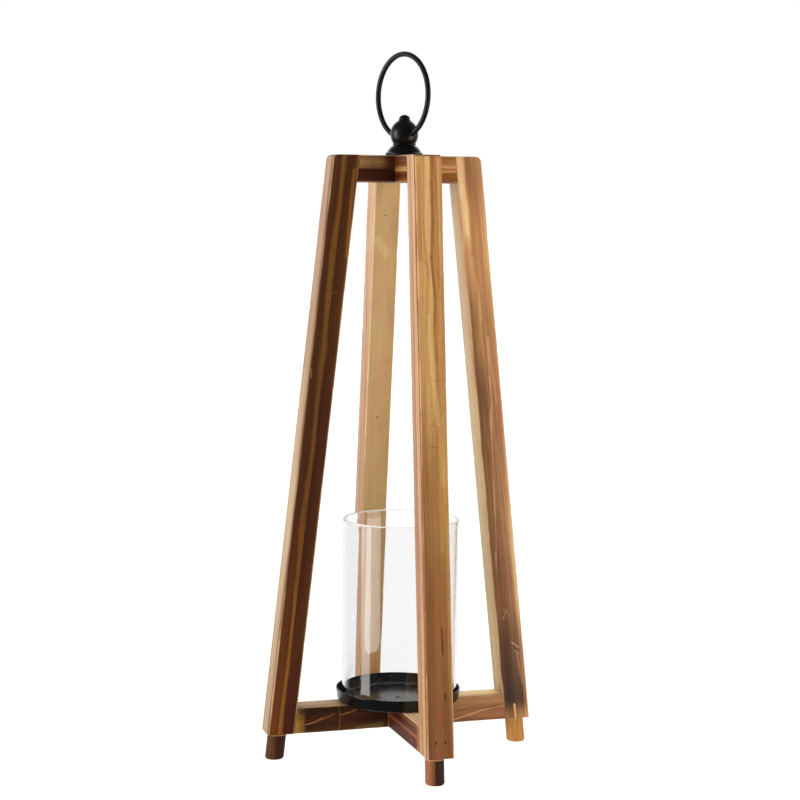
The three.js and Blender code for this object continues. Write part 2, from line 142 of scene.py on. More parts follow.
def lathe(name, profile, centre, segments=128, closed=False, place=None, sharp=SHARP):
    """Solid of revolution. The profile holds (radius, height) points, from axis to axis or closed."""
    rings = []
    points = []
    for r, z in profile:
        if r < 1e-7:
            rings.append([len(points)])
            points.append(Vector((0, 0, z)))
            continue
        rings.append(list(range(len(points), len(points) + segments)))
        for k in range(segments):
            angle = 2 * math.pi * k / segments
            points.append(Vector((r * math.cos(angle), r * math.sin(angle), z)))
    if place:
        points = [place(p) for p in points]
    points = [p + centre for p in points]
    faces = []
    pairs = list(zip(rings, rings[1:] + rings[:1])) if closed else list(zip(rings, rings[1:]))
    for low, high in pairs:
        for k in range(segments):
            n = (k + 1) % segments
            if len(low) == 1:
                faces.append((low[0], high[n], high[k]))
            elif len(high) == 1:
                faces.append((low[k], low[n], high[0]))
            else:
                faces.append((low[k], low[n], high[n], high[k]))
    return add_mesh(name, points, faces, sharp)


def carve(obj, cutters):
    """Cuts the cutters, which don't touch each other, out of obj and removes them."""
    merged = bmesh.new()
    for cutter in cutters:
        merged.from_mesh(cutter.data)
    merged.to_mesh(cutters[0].data)
    merged.free()
    modifier = obj.modifiers.new("cut", "BOOLEAN")
    modifier.operation = "DIFFERENCE"
    modifier.solver = "EXACT"
    modifier.object = cutters[0]
    bpy.context.view_layer.update()
    evaluated = obj.evaluated_get(bpy.context.evaluated_depsgraph_get())
    carved = bpy.data.meshes.new_from_object(evaluated)
    obj.modifiers.clear()
    obj.data = carved
    carved.shade_smooth()
    carved.set_sharp_from_angle(angle=math.radians(SHARP))
    for cutter in cutters:
        bpy.data.objects.remove(cutter)
    return obj


def stand_for(obj, node, body, material):
    obj.data.materials.clear()
    obj.data.materials.append(material)
    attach(obj, body)
    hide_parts(node)
    return obj


# ---------------------------------------------------------------- node graphs

def colour(text):
    """Linear colour of an sRGB hex value."""
    channels = [int(text[i:i + 2], 16) / 255 for i in (1, 3, 5)]
    linear = [c / 12.92 if c <= 0.04045 else ((c + 0.055) / 1.055) ** 2.4 for c in channels]
    return (*linear, 1)


class Graph:
    """Short calls that add nodes to a node tree. Inputs are sockets or plain values."""

    def __init__(self, tree):
        self.tree = tree

    def put(self, socket, value):
        if isinstance(value, bpy.types.NodeSocket):
            self.tree.links.new(value, socket)
        else:
            socket.default_value = value

    def place(self):
        """Where a point is in the object's own coordinates, in millimetres."""
        return self.scale(self.node("ShaderNodeTexCoord").outputs["Object"], 1 / MM)

    def fill(self, node, inputs):
        for key, value in dict(inputs).items():
            self.put(node.inputs[key], value)
        return node

    def node(self, kind, inputs=(), **settings):
        made = self.tree.nodes.new(kind)
        for key, value in settings.items():
            setattr(made, key, value)
        return self.fill(made, inputs)

    def math(self, operation, *values, clamp=False):
        made = self.node("ShaderNodeMath", enumerate(values), operation=operation, use_clamp=clamp)
        return made.outputs[0]

    def plus(self, a, b):
        return self.math("ADD", a, b)

    def minus(self, a, b):
        return self.math("SUBTRACT", a, b)

    def times(self, a, b):
        return self.math("MULTIPLY", a, b)

    def dot(self, a, b):
        return self.vector("DOT_PRODUCT", a, b)

    def vector(self, operation, *values):
        made = self.node("ShaderNodeVectorMath", enumerate(values), operation=operation)
        return made.outputs["Value" if operation in ("DOT_PRODUCT", "LENGTH", "DISTANCE") else 0]

    def scale(self, vector, amount):
        made = self.node("ShaderNodeVectorMath", {"Vector": vector, "Scale": amount}, operation="SCALE")
        return made.outputs[0]

    def span(self, value, low, high, to_low=0.0, to_high=1.0, smooth=True):
        """Value's place between low and high, carried to to_low and to_high."""
        inputs = {"Value": value, "From Min": low, "From Max": high, "To Min": to_low, "To Max": to_high}
        kind = "SMOOTHSTEP" if smooth else "LINEAR"
        return self.node("ShaderNodeMapRange", inputs, interpolation_type=kind).outputs[0]

    def ramp(self, value, stops):
        made = self.node("ShaderNodeValToRGB", {"Fac": value})
        band = made.color_ramp
        while len(band.elements) < len(stops):
            band.elements.new(0.5)
        for element, (place, shade) in zip(band.elements, sorted(stops)):
            element.position = place
            element.color = colour(shade) if isinstance(shade, str) else (*shade, 1)
        return made.outputs["Color"]

    def mix(self, factor, a, b, blend="MIX"):
        made = self.node("ShaderNodeMix", data_type="RGBA", blend_type=blend)
        return self.fill(made, {0: factor, 6: a, 7: b}).outputs[2]

    def noise(self, vector, scale, detail=3.0, rough=0.5, distortion=0.0):
        inputs = {
            "Vector": vector, "Scale": scale, "Detail": detail, "Roughness": rough, "Distortion": distortion,
        }
        return self.node("ShaderNodeTexNoise", inputs).outputs["Fac"]

    def bump(self, height, strength, distance):
        made = self.node("ShaderNodeBump", {"Height": height, "Strength": strength, "Distance": distance})
        return made.outputs["Normal"]

    def group(self, tree, **inputs):
        return self.fill(self.node("ShaderNodeGroup", node_tree=tree), inputs)


def new_group(name, inputs, outputs):
    """Node group with named sockets. Returns its tree, its Graph, its input node and its output node."""
    tree = bpy.data.node_groups.new(name, "ShaderNodeTree")
    for in_out, sockets in (("INPUT", inputs), ("OUTPUT", outputs)):
        for key, kind in sockets.items():
            tree.interface.new_socket(key, in_out=in_out, socket_type="NodeSocket" + kind)
    start = tree.nodes.new("NodeGroupInput")
    end = tree.nodes.new("NodeGroupOutput")
    return tree, Graph(tree), start, end


def new_material(name):
    """A material, its Graph and its shader."""
    material = bpy.data.materials.new(name)
    material.use_nodes = True
    graph = Graph(material.node_tree)
    return material, graph, material.node_tree.nodes["Principled BSDF"]


# ---------------------------------------------------------------- wood
# Timber coordinates are in millimetres: x across the bar, y through it, z along it.

HALF_BAR = HALF / MM
WANDER = 0.7  # how far fine figure shifts a stripe
STAVES_APART = 700.0  # between the places in the timber that a bar's two staves are cut from
PITH = (24.0, -31.0, 0.0)  # the middle of the growth rings
RING_RATE = 2.4  # radians of a ring per millimetre
FOOT_PITH = (6.0, -9.0, 0.0)
RING_RATE_FOOT = 2.2

def make_grain():
    """Figure, fibres, pores and blotches of planed hardwood, each about 0 to 1."""
    outputs = {"Figure": "Float", "Fibre": "Float", "Pores": "Float", "Blotch": "Float", "Warp": "Float"}
    tree, g, start, end = new_group("grain", {"Place": "Vector"}, outputs)
    place = start.outputs["Place"]
    layers = {
        "Figure": ((0.24, 0.24, 0.0052), 5.0, 0.62, 0.7, 0.30, 0.70),
        "Fibre": ((1.5, 1.5, 0.026), 4.0, 0.65, 0.2, 0.30, 0.70),
        "Pores": ((2.3, 2.3, 0.12), 2.0, 0.5, 0.0, 0.60, 0.72),
        "Blotch": ((0.05, 0.05, 0.013), 3.0, 0.5, 0.4, 0.32, 0.68),
        "Warp": ((0.03, 0.03, 0.011), 2.0, 0.5, 0.0, 0.25, 0.75),
    }
    for i, (key, (scale, detail, rough, distortion, low, high)) in enumerate(layers.items()):
        moved = g.vector("ADD", place, (17.0 * i, 31.0 * i, 53.0 * i))
        stretched = g.vector("MULTIPLY", moved, scale)
        g.put(end.inputs[key], g.span(g.noise(stretched, 1.0, detail, rough, distortion), low, high))
    return tree


def make_streak():
    """1 near the segment from From to To on a face, falling to 0 over Soft beyond Width."""
    inputs = {"Place": "Vector", "From": "Vector", "To": "Vector", "Width": "Float", "Soft": "Float"}
    tree, g, start, end = new_group("streak", inputs, {"Mask": "Float"})
    place, a, b = (start.outputs[key] for key in ("Place", "From", "To"))
    run = g.vector("SUBTRACT", b, a)
    offset = g.vector("SUBTRACT", place, a)
    share = g.math("DIVIDE", g.dot(offset, run), g.dot(run, run), clamp=True)
    nearest = g.scale(run, share)
    distance = g.vector("DISTANCE", offset, nearest)
    reach = g.plus(start.outputs["Width"], start.outputs["Soft"])
    g.put(end.inputs["Mask"], g.span(distance, reach, start.outputs["Width"]))
    return tree


GRAIN = make_grain()
STREAK = make_streak()


def add_grain(g, shade, grain, contrast=1.0):
    """Lays figure, fibres and blotches over a colour. An overlay of 0.5 leaves it as it is."""
    layers = (
        ("Figure", (0.37, 0.34, 0.32), (0.62, 0.62, 0.62), contrast),
        ("Fibre", (0.44, 0.43, 0.42), (0.56, 0.56, 0.55), contrast),
        ("Blotch", (0.49, 0.45, 0.46), (0.52, 0.53, 0.49), 1.0),
    )
    for key, low, high, strength in layers:
        cover = g.ramp(grain.outputs[key], [(0, low), (0.5, (0.5, 0.5, 0.5)), (1, high)])
        shade = g.mix(strength, shade, cover, "OVERLAY")
    return shade


def read_stops(text):
    """Stops written as "place colour, place colour", with places in hundredths of a face's width."""
    pairs = (stop.split() for stop in text.split(", "))
    return [(int(place) / 100, tone) for place, tone in pairs]


def paint_face(g, across, along, grain, look):
    """Colour of one face. look holds bands, (mm along, stops), and marks, (from, to, width, softness,
    colour, strength) with places as (mm across from the middle, mm along). warp is how far the figure
    wanders in mm, grain is how strong it is, tint multiplies the colour and flip mirrors the face."""
    reach = look.get("warp", 1.6)
    warp = g.span(grain.outputs["Warp"], 0, 1, -reach, reach, smooth=False)
    wander = g.span(grain.outputs["Figure"], 0, 1, -WANDER, WANDER, smooth=False)
    shifted = g.plus(g.plus(across, warp), wander)
    place = g.span(shifted, -HALF_BAR, HALF_BAR, smooth=False)
    bands = look["bands"]
    shade = None
    for i, (height, text) in enumerate(bands):
        stops = read_stops(text)
        if look.get("flip"):
            stops = [(1 - at, tone) for at, tone in stops]
        band = g.ramp(place, stops)
        shade = band if shade is None else g.mix(g.span(along, bands[i - 1][0], height), shade, band)
    spot = g.node("ShaderNodeCombineXYZ", {0: shifted, 1: along}).outputs[0]
    for a, b, width, soft, tone, strength in look.get("marks", ()):
        if look.get("flip"):
            a, b = (-a[0], a[1]), (-b[0], b[1])
        inputs = {"Place": spot, "From": (*a, 0), "To": (*b, 0), "Width": width, "Soft": soft}
        mask = g.group(STREAK, **inputs).outputs["Mask"]
        shade = g.mix(g.times(mask, strength), shade, colour(tone))
    if "tint" in look:
        shade = g.vector("MULTIPLY", shade, look["tint"])
    return add_grain(g, shade, grain, look.get("grain", 1.0))


def oiled(material, g, shader, shade, rough, height):
    """The shader of oiled timber, with its grain in relief."""
    relief = g.bump(height, 0.35, 0.2 * MM)
    g.fill(shader, {"Base Color": shade, "Roughness": rough, "Specular IOR Level": 0.2, "Normal": relief})
    return material


def wood(name, across, along, origin, slope, looks):
    """Oiled hardwood for one bar. across and along are directions in the frame, origin is a point on the
    bar's centre line, slope is how fast the bar leans inwards along its height. looks holds a look for
    each of side (the two faces across the bar), plus and minus (the faces through it)."""
    material, g, shader = new_material(name)
    coordinates = g.node("ShaderNodeTexCoord")
    position = g.scale(g.vector("SUBTRACT", coordinates.outputs["Object"], origin), 1 / MM)
    normal = coordinates.outputs["Normal"]
    through = across.cross(along).normalized()
    u = g.dot(position, across)
    w = g.dot(position, along)
    v = g.plus(g.dot(position, through), g.times(w, slope))
    base = Vector(origin).dot(along) / MM
    along_mm = g.plus(w, base)

    # The two staves of a bar are cut from different places in the timber
    stave = g.math("GREATER_THAN", v, 0.0)
    timber = g.node("ShaderNodeCombineXYZ", {0: u, 1: v, 2: along_mm}).outputs[0]
    cut_from = g.node("ShaderNodeCombineXYZ", {2: g.times(stave, STAVES_APART)}).outputs[0]
    seed = sum(ord(letter) * (i + 1) for i, letter in enumerate(name)) % 997
    timber = g.vector("ADD", g.vector("ADD", timber, cut_from), (0.0, 0.0, float(seed)))
    grain = g.group(GRAIN, Place=timber)

    side = paint_face(g, v, along_mm, grain, looks["side"])
    plus = paint_face(g, u, along_mm, grain, looks["plus"])
    minus = paint_face(g, u, along_mm, grain, looks["minus"])
    facing = g.dot(normal, through)
    beside = g.math("ABSOLUTE", g.dot(normal, across))
    shade = g.mix(g.span(facing, -0.1, 0.1), minus, plus)
    shade = g.mix(g.span(beside, 0.60, 0.80), shade, side)

    # Sanded edges are paler, and this paler band along the eased arrises is also a painted highlight
    near_side = g.minus(HALF_BAR, g.math("ABSOLUTE", u))
    near_face = g.minus(HALF_BAR, g.math("ABSOLUTE", v))
    corner = g.math("MAXIMUM", near_side, near_face)
    worn_and_lit_edge = g.times(g.span(corner, 1.9, 0.5), g.span(grain.outputs["Blotch"], 0.0, 1.0, 0.1, 0.5))
    # a pale tan screened over the wood near each arris: partly sanding wear, partly painted highlight
    shade = g.mix(worn_and_lit_edge, shade, g.mix(1.0, shade, colour("#f0c898"), "SCREEN"))

    pores = g.times(grain.outputs["Pores"], 0.34)
    shade = g.mix(pores, shade, colour("#3a2010"))

    # End grain: growth rings about a pith outside the bar
    upward = g.math("ABSOLUTE", g.dot(normal, along))
    ring_place = g.node("ShaderNodeCombineXYZ", {0: u, 1: v}).outputs[0]
    ring_radius = g.vector("DISTANCE", ring_place, PITH)
    ring_wave = g.math("SINE", g.times(ring_radius, RING_RATE))
    speckle = g.noise(timber, 1.6, 3.0, 0.7)
    ring_shade = g.plus(g.times(ring_wave, 0.16), speckle)
    end_shade = g.ramp(ring_shade, [(0.2, "#3a2214"), (0.5, "#7a5230"), (0.85, "#a87c50")])
    shade = g.mix(g.span(upward, 0.6, 0.85), shade, end_shade)

    rough = g.plus(g.span(grain.outputs["Fibre"], 0.0, 1.0, 0.44, 0.58), pores)
    ridges = g.plus(g.times(grain.outputs["Fibre"], 0.5), grain.outputs["Figure"])
    height = g.minus(ridges, g.times(grain.outputs["Pores"], 1.6))
    return oiled(material, g, shader, shade, rough, height)


def leg_wood(side, looks):
    outward = ARMS[side]
    across = UP.cross(outward)
    origin = outward * SPREAD + UP * LEG_LOW.z
    return wood(f"wood_leg_{side}", across, UP, origin, LEAN, looks)


def rail_wood(level, arm, looks):
    """Wood of the two rails that share a line. Its long direction is +X or +Y."""
    box = [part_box(f"{level}_rail_left_right_upper"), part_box(f"{level}_rail_front_back_lower")]
    middle = (box[0][1].z + box[1][0].z) / 2
    along = ARMS[arm]
    across = along.cross(UP)
    return wood(f"wood_{level}_rails_{arm}", across, along, UP * middle, 0.0, looks)


def plain(*shades):
    """A look of even stripes, the same along the whole bar."""
    places = range(0, 101, 100 // max(len(shades) - 1, 1))
    return {"bands": [(0, ", ".join(f"{place} {tone}" for place, tone in zip(places, shades)))]}


def left_leg_wood():
    side = {"flip": True, "warp": 1.8, "grain": 0.7, "tint": (1.19, 0.98, 0.21), "bands": [
        (40, "0 #6a3c1c, 30 #5a2d12, 36 #7c5634, 49 #79512c, 54 #4c1c14, 85 #3e141a, 100 #5a3a1c"),
        (130, "0 #5a3214, 30 #4e2910, 36 #75502e, 49 #79512c, 54 #46220c, 85 #4a260f, 100 #5a3a1c"),
        (330, "0 #4d2b12, 32 #482610, 38 #65452b, 50 #6b4321, 55 #3f1e0a, 90 #4a260f, 100 #5e3e20"),
        (620, "0 #4d2b12, 26 #4a2810, 34 #6a4a2e, 48 #65452b, 56 #44240e, 85 #4c2c12, 100 #6a4624"),
    ], "marks": [
        ((-2, 520), (6, 521), 0.2, 0.5, "#7a5a3c", 0.5),
        ((-13, 438), (-11.5, 428), 0.3, 0.5, "#a08060", 0.6),
        ((11, 655), (12, 560), 0.8, 1.6, "#8a6238", 0.5),
    ]}
    outer = {"warp": 1.4, "grain": 0.5, "tint": (0.67, 0.63, 0.55), "bands": [
        (60, "0 #c4a686, 40 #cfb494, 78 #c8a884, 90 #946848, 100 #8a5c3c"),
        (320, "0 #cbaa8e, 40 #dabda5, 80 #d3b394, 93 #a07858, 100 #8a6446"),
        (480, "0 #b89c80, 40 #c8a68c, 80 #c4a080, 93 #98704e, 100 #80583a"),
        (640, "0 #c9a28c, 40 #d0a898, 75 #c49c80, 88 #906848, 100 #785034"),
    ]}
    return leg_wood("left", {"side": side, "plus": outer, "minus": plain("#7a4f2a", "#6b4424", "#845832")})


def back_leg_wood():
    inner = {"flip": True, "warp": 1.5, "grain": 0.2, "tint": (1.20, 1.28, 1.29), "bands": [
        (80, "0 #b88d5c, 50 #bc9460, 100 #b08452"),
        (300, "0 #bf9868, 50 #bc9665, 100 #b8915f"),
        (600, "0 #c09a6a, 50 #c79f72, 100 #b9905e"),
    ], "marks": [
        ((-4, 606), (0, 604.5), 0.3, 0.6, "#8a6030", 0.8),
        ((-9, 577), (2, 562), 3.0, 4.0, "#d8b888", 0.45),
        ((-3, 371), (-1, 370), 0.5, 0.7, "#7a4a20", 0.9),
    ]}
    side = {"flip": True, "warp": 2.0, "grain": 0.5, "tint": (0.72, 0.74, 0.70), "bands": [
        (230, "0 #c4a68e, 50 #cc9c7e, 100 #c98f70"),
        (430, "0 #d4b49c, 50 #d2a080, 100 #d29b78"),
        (600, "0 #dbb99c, 35 #e6bb95, 70 #eec49c, 100 #e2b48c"),
    ], "marks": [
        ((-5, 560), (10, 330), 0.8, 2.4, "#bb7858", 0.6),
        ((-12, 470), (3, 250), 0.8, 2.4, "#b07558", 0.6),
        ((2, 500), (13, 300), 0.6, 1.8, "#c07e5e", 0.6),
        ((-9, 640), (-2, 560), 0.6, 1.8, "#c89878", 0.5),
        ((4, 640), (12, 520), 0.5, 1.5, "#d8a478", 0.5),
    ]}
    return leg_wood("back", {"side": side, "plus": plain("#b9895a", "#a87848", "#bf9060"), "minus": inner})


def front_leg_wood():
    outer = {"warp": 0.8, "grain": 0.6, "tint": (1.07, 1.07, 0.95), "bands": [
        (40, "0 #7a4a2d, 50 #8a532f, 90 #7c4c2c, 100 #9a6a44"),
        (190, "0 #88582f, 50 #8f5c30, 80 #a06c3a, 90 #b07c46, 100 #a87848"),
        (310, "0 #96683a, 40 #a07040, 70 #a87842, 85 #b98a52, 100 #a87c4c"),
        (470, "0 #b58450, 35 #c69660, 50 #c99c66, 62 #a8743e, 80 #b5804c, 100 #b5875b"),
        (620, "0 #b98855, 28 #c4935f, 40 #d1a36c, 54 #d8b07c, 62 #b07c48, "
              "75 #b98653, 88 #c8955f, 100 #b08050"),
    ], "marks": [
        ((3.6, 672), (2.6, 640), 1.1, 1.3, "#96622f", 0.8),
        ((2.6, 640), (3.4, 600), 1.1, 1.3, "#96622f", 0.8),
        ((3.4, 600), (1.0, 562), 1.0, 1.2, "#8f5a2a", 0.85),
        ((1.0, 562), (3.8, 520), 1.0, 1.2, "#85521f", 0.85),
        ((3.8, 520), (3.2, 490), 0.8, 1.2, "#8f5c2c", 0.85),
        ((3.2, 490), (5.0, 452), 0.7, 1.2, "#96622f", 0.75),
        ((7.2, 665), (9.6, 600), 0.6, 1.0, "#a06c38", 0.7),
        ((9.6, 600), (8.0, 530), 0.5, 1.0, "#a06c38", 0.7),
        ((-5.4, 668), (-6.6, 600), 0.6, 1.4, "#a8743e", 0.6),
        ((-6.6, 600), (-3.4, 545), 0.6, 1.5, "#a8743e", 0.65),
        ((-3.4, 545), (-6.4, 480), 0.6, 1.5, "#a8743e", 0.55),
        ((-6.4, 480), (-5.0, 430), 0.4, 1.6, "#a8743e", 0.4),
        ((-12.0, 660), (-11.0, 560), 1.0, 2.2, "#9c6a3c", 0.5),
        ((-1.0, 500), (0.5, 440), 0.4, 1.0, "#b07c48", 0.5),
        ((-2.4, 500), (0.2, 440), 0.8, 3.4, "#d8b078", 0.5),
        ((0.2, 440), (5.4, 385), 0.8, 3.4, "#d8b078", 0.5),
        ((5.4, 385), (8.4, 320), 0.6, 3.2, "#cc9c60", 0.45),
        ((1.0, 431), (14.5, 432), 0.12, 0.35, "#6b4526", 0.75),
        ((-4.0, 384), (2.5, 383), 0.12, 0.35, "#6b4526", 0.8),
        ((-5.0, 361), (5.0, 360), 0.12, 0.35, "#6b4526", 0.75),
        ((3.4, 169), (4.2, 141), 0.4, 1.0, "#4a2a16", 0.8),
        ((5.4, 98), (5.8, 92), 0.6, 0.9, "#4a2a16", 0.8),
        ((-4.8, 47.2), (-4.8, 46.6), 0.9, 0.9, "#2a160c", 0.85),
        ((4.8, 47.2), (4.8, 46.6), 0.9, 0.9, "#2a160c", 0.85),
        ((8.0, 340), (6.0, 250), 1.0, 2.5, "#c0904f", 0.5),
    ]}
    side = {"warp": 1.2, "grain": 0.6, "tint": (0.82, 0.81, 0.71), "bands": [
        (60, "0 #bf9468, 25 #c8a07c, 47 #b08060, 53 #d0a27c, 80 #dcb48c, 84 #c08c5c, 90 #945c30"),
        (280, "0 #b89280, 25 #c08e78, 46 #a8705a, 53 #d09c80, 80 #dca284, 84 #b07a54, 90 #885430"),
        (480, "0 #c09c88, 30 #c49880, 46 #b07e62, 53 #dfae8c, 80 #d9aa7f, 84 #b27c52, 90 #84502a"),
        (640, "0 #d3b19a, 30 #d0a98c, 46 #ba8d6e, 53 #e7b995, 80 #e2b28c, 82 #bc8658, 88 #8c5830"),
    ]}
    return leg_wood("front", {"side": side, "plus": outer, "minus": plain("#c49a6c", "#b98c5c", "#c8a070")})


def right_leg_wood():
    inner = {"flip": True, "warp": 2.0, "grain": 0.4, "tint": (0.92, 0.96, 0.98), "bands": [
        (80, "0 #c2b294, 25 #cbb084, 80 #c8a271, 100 #b88e60"),
        (350, "0 #c4b59c, 25 #d3b88b, 80 #c9a87a, 100 #b99468"),
        (620, "0 #c8b8a4, 25 #d6b894, 80 #cfab80, 100 #b88e64"),
    ], "marks": [((-3, 473), (2, 472), 0.2, 0.5, "#a88460", 0.6)]}
    side = {"warp": 1.2, "grain": 0.8, "tint": (1.34, 1.40, 1.36), "bands": [
        (28, "0 #8a5c38, 40 #8c6038, 55 #9a6c40, 80 #b07a52, 100 #bb8761"),
        (52, "0 #3f2a1e, 50 #4a3226, 80 #54382a, 95 #8a5c40"),
        (110, "0 #4a2e20, 40 #5a3925, 80 #704e39, 95 #9c7050"),
        (175, "0 #6e4628, 40 #7a5034, 80 #96684a, 95 #c09468"),
        (300, "0 #77502f, 45 #845a3a, 85 #a47450, 97 #c6996f"),
        (400, "0 #6c4426, 40 #774e2f, 65 #9a6a44, 90 #ae7c56, 100 #bf9068"),
        (480, "0 #7c5230, 30 #9a6c44, 44 #a87a4c, 52 #8a5c3a, 90 #af7f56, 100 #c6996f"),
        (560, "0 #8e5c34, 22 #b98458, 36 #a8744a, 70 #b07c52, 100 #c6996f"),
        (600, "0 #a06c40, 12 #cd9d72, 28 #d8ac78, 38 #a87448, 70 #b07a50, 100 #c09066"),
        (655, "0 #8a5c38, 12 #cd9d72, 24 #d0a070, 34 #8a5c38, 60 #9a6844, 100 #a87850"),
    ], "marks": [
        ((3.0, 425), (-1.0, 370), 0.2, 0.8, "#c09470", 0.5),
        ((2.0, 395), (-10.5, 205), 0.15, 0.6, "#c4946e", 0.6),
        ((-3.0, 300), (-8.0, 240), 0.2, 0.8, "#b8886a", 0.35),
        ((4.5, 470), (6.5, 395), 0.6, 1.4, "#bd8c62", 0.5),
        ((-10.0, 640), (-8.0, 585), 1.2, 1.4, "#dab488", 0.6),
        ((-6.0, 560), (-1.5, 490), 1.0, 1.8, "#b88c5c", 0.6),
        ((-6.0, 158), (2.0, 151), 0.3, 0.8, "#a87a58", 0.6),
        ((-8.0, 146), (-2.0, 157), 0.3, 0.8, "#a87a58", 0.6),
        ((2.0, 119), (9.0, 113), 0.4, 0.8, "#c09878", 0.65),
        ((4.0, 109), (9.5, 106), 0.3, 0.8, "#c09878", 0.5),
        ((7.0, 105), (11.0, 70), 0.8, 2.0, "#9a7050", 0.5),
        ((-1.5, 46), (-1.5, 28), 0.9, 0.8, "#d8a868", 0.85),
    ]}
    return leg_wood("right", {"side": side, "plus": plain("#a87850", "#8c5c38", "#9c6c44"), "minus": inner})


def top_left_right_wood():
    side = {"warp": 0.5, "tint": (1.04, 0.98, 0.74), "bands": [
        (-58, "0 #481d00, 30 #421900, 47 #341200, 53 #7c5a3c, 75 #96714c, 100 #705234"),
        (-34, "0 #3f1600, 47 #341000, 53 #6c4c34, 75 #845f42, 100 #5c3e2c"),
        (-20, "0 #320e00, 47 #2a0b00, 54 #4a1f10, 100 #3a1408"),
        (26, "0 #764a1c, 35 #865823, 44 #c89060, 53 #c08050, 62 #d09a70, "
             "70 #a6744e, 90 #a26d41, 100 #7c4c2c"),
    ]}
    top = plain("#8a6440", "#7c5838", "#94704a")
    return rail_wood("top", "right", {"side": side, "plus": top, "minus": plain("#5a3418", "#4a2810")})


def top_front_back_wood():
    side = {"warp": 0.5, "tint": (0.80, 0.86, 0.64), "bands": [
        (-52, "0 #a8704a, 10 #8c4f28, 25 #5c1f0a, 38 #7c3f1c, 45 #e0a880, "
              "53 #c88860, 60 #8f4d2a, 80 #7b3f1d, 100 #5e3a27"),
        (-20, "0 #8a5a3c, 10 #6c3018, 25 #4c1608, 38 #6c3216, 45 #c88c68, "
              "53 #a86a44, 60 #7b3a1d, 80 #6d3118, 100 #502c1d"),
        (20, "0 #7a4a2a, 45 #8a5834, 53 #a87048, 100 #8a5c3c"),
    ]}
    top = plain("#9c744c", "#88603a")
    return rail_wood("top", "back", {"side": side, "plus": top, "minus": plain("#6a3c1e")})


def bottom_left_right_wood():
    side = {"warp": 1.0, "tint": (0.94, 0.85, 0.56), "bands": [
        (-124, "0 #a07c34, 50 #a8803a, 100 #7c5424"),
        (-117, "0 #8a6428, 50 #8a6028, 100 #54341a"),
        (-111, "0 #543210, 30 #3c1e06, 60 #481d06, 85 #2c1702, 100 #583e14"),
        (-60, "0 #5a3912, 30 #4a2608, 60 #52290e, 85 #3a1d04, 100 #482e0e"),
        (-20, "0 #6a4f20, 15 #4a2e0e, 40 #3c1b06, 100 #2a1204"),
        (20, "0 #5c3420, 50 #6a4430, 100 #8a5a40"),
        (50, "0 #7e5140, 35 #93634e, 50 #8a5e47, 70 #9e6c53, 100 #aa7e63"),
        (118, "0 #986854, 35 #a4725a, 50 #946450, 70 #a7785d, 100 #b38869"),
    ], "marks": [
        ((-12.5, 60), (-3.0, 96), 0.3, 1.0, "#dcae88", 0.6),
        ((-3.0, 96), (1.5, 124), 0.3, 1.1, "#dcae88", 0.75),
        ((4.0, 70), (8.0, 100), 0.3, 1.2, "#c08a68", 0.4),
        ((-4.5, -112), (-2.6, -103), 0.3, 0.9, "#b08058", 0.55),
        ((-2.6, -103), (2.0, -92), 0.3, 0.8, "#b08058", 0.65),
        ((-1.0, -98), (5.0, -80), 0.2, 1.4, "#9a6840", 0.45),
        ((4.0, -71), (6.2, -62), 0.3, 1.0, "#a8764c", 0.6),
        ((6.2, -62), (9.0, -54), 0.2, 1.4, "#a8764c", 0.45),
        ((-13.0, -73.4), (-2.0, -72.6), 0.15, 0.4, "#a87850", 0.55),
        ((-2.0, -72.6), (12.0, -73.2), 0.15, 0.5, "#a87850", 0.4),
        ((-13.0, -52), (-10.0, -24), 1.2, 3.2, "#7a6434", 0.5),
        ((9.5, -118), (11.5, -96), 0.8, 2.2, "#321c10", 0.6),
        ((1.0, -64), (-4.0, -40), 1.5, 3.5, "#3c1608", 0.4),
        ((-12.5, -15.4), (12, -15.4), 0.3, 0.5, "#b89878", 0.6),
    ]}
    top = {"warp": 1.5, "tint": (1.30, 1.37, 1.35), "bands": [
        (-110, "0 #c4a488, 60 #b89878, 100 #8a6848"),
        (-40, "0 #b08c6a, 60 #a07c5c, 100 #7a5a3c"),
        (50, "0 #e2c898, 60 #dcbc88, 85 #c09a68, 100 #9a6840"),
    ]}
    return rail_wood("bottom", "right", {"side": side, "plus": top, "minus": plain("#5a3a20", "#6a4628")})


def bottom_front_back_wood():
    side = {"warp": 0.5, "tint": (0.80, 0.51, 0.28), "bands": [
        (-124, "0 #b88850, 50 #c8965c, 100 #b88a58"),
        (-112, "0 #7a5a2c, 12 #5a2420, 30 #7a4440, 43 #5a2c20, 50 #c08a60, "
               "58 #795234, 80 #5c3420, 90 #8c6848, 100 #503424"),
        (-50, "0 #54401c, 12 #4a1c18, 30 #6a3430, 43 #42180e, 50 #a87048, "
              "58 #5c3b20, 80 #49281a, 88 #795234, 100 #331c10"),
        (20, "0 #6a4424, 50 #7a5030, 100 #6a4424"),
    ]}
    top = {"warp": 1.2, "bands": [(0, "0 #d4b48c, 50 #cfae88, 100 #c09a6c")]}
    return rail_wood("bottom", "back", {"side": side, "plus": top, "minus": plain("#5a3820", "#6a4428")})


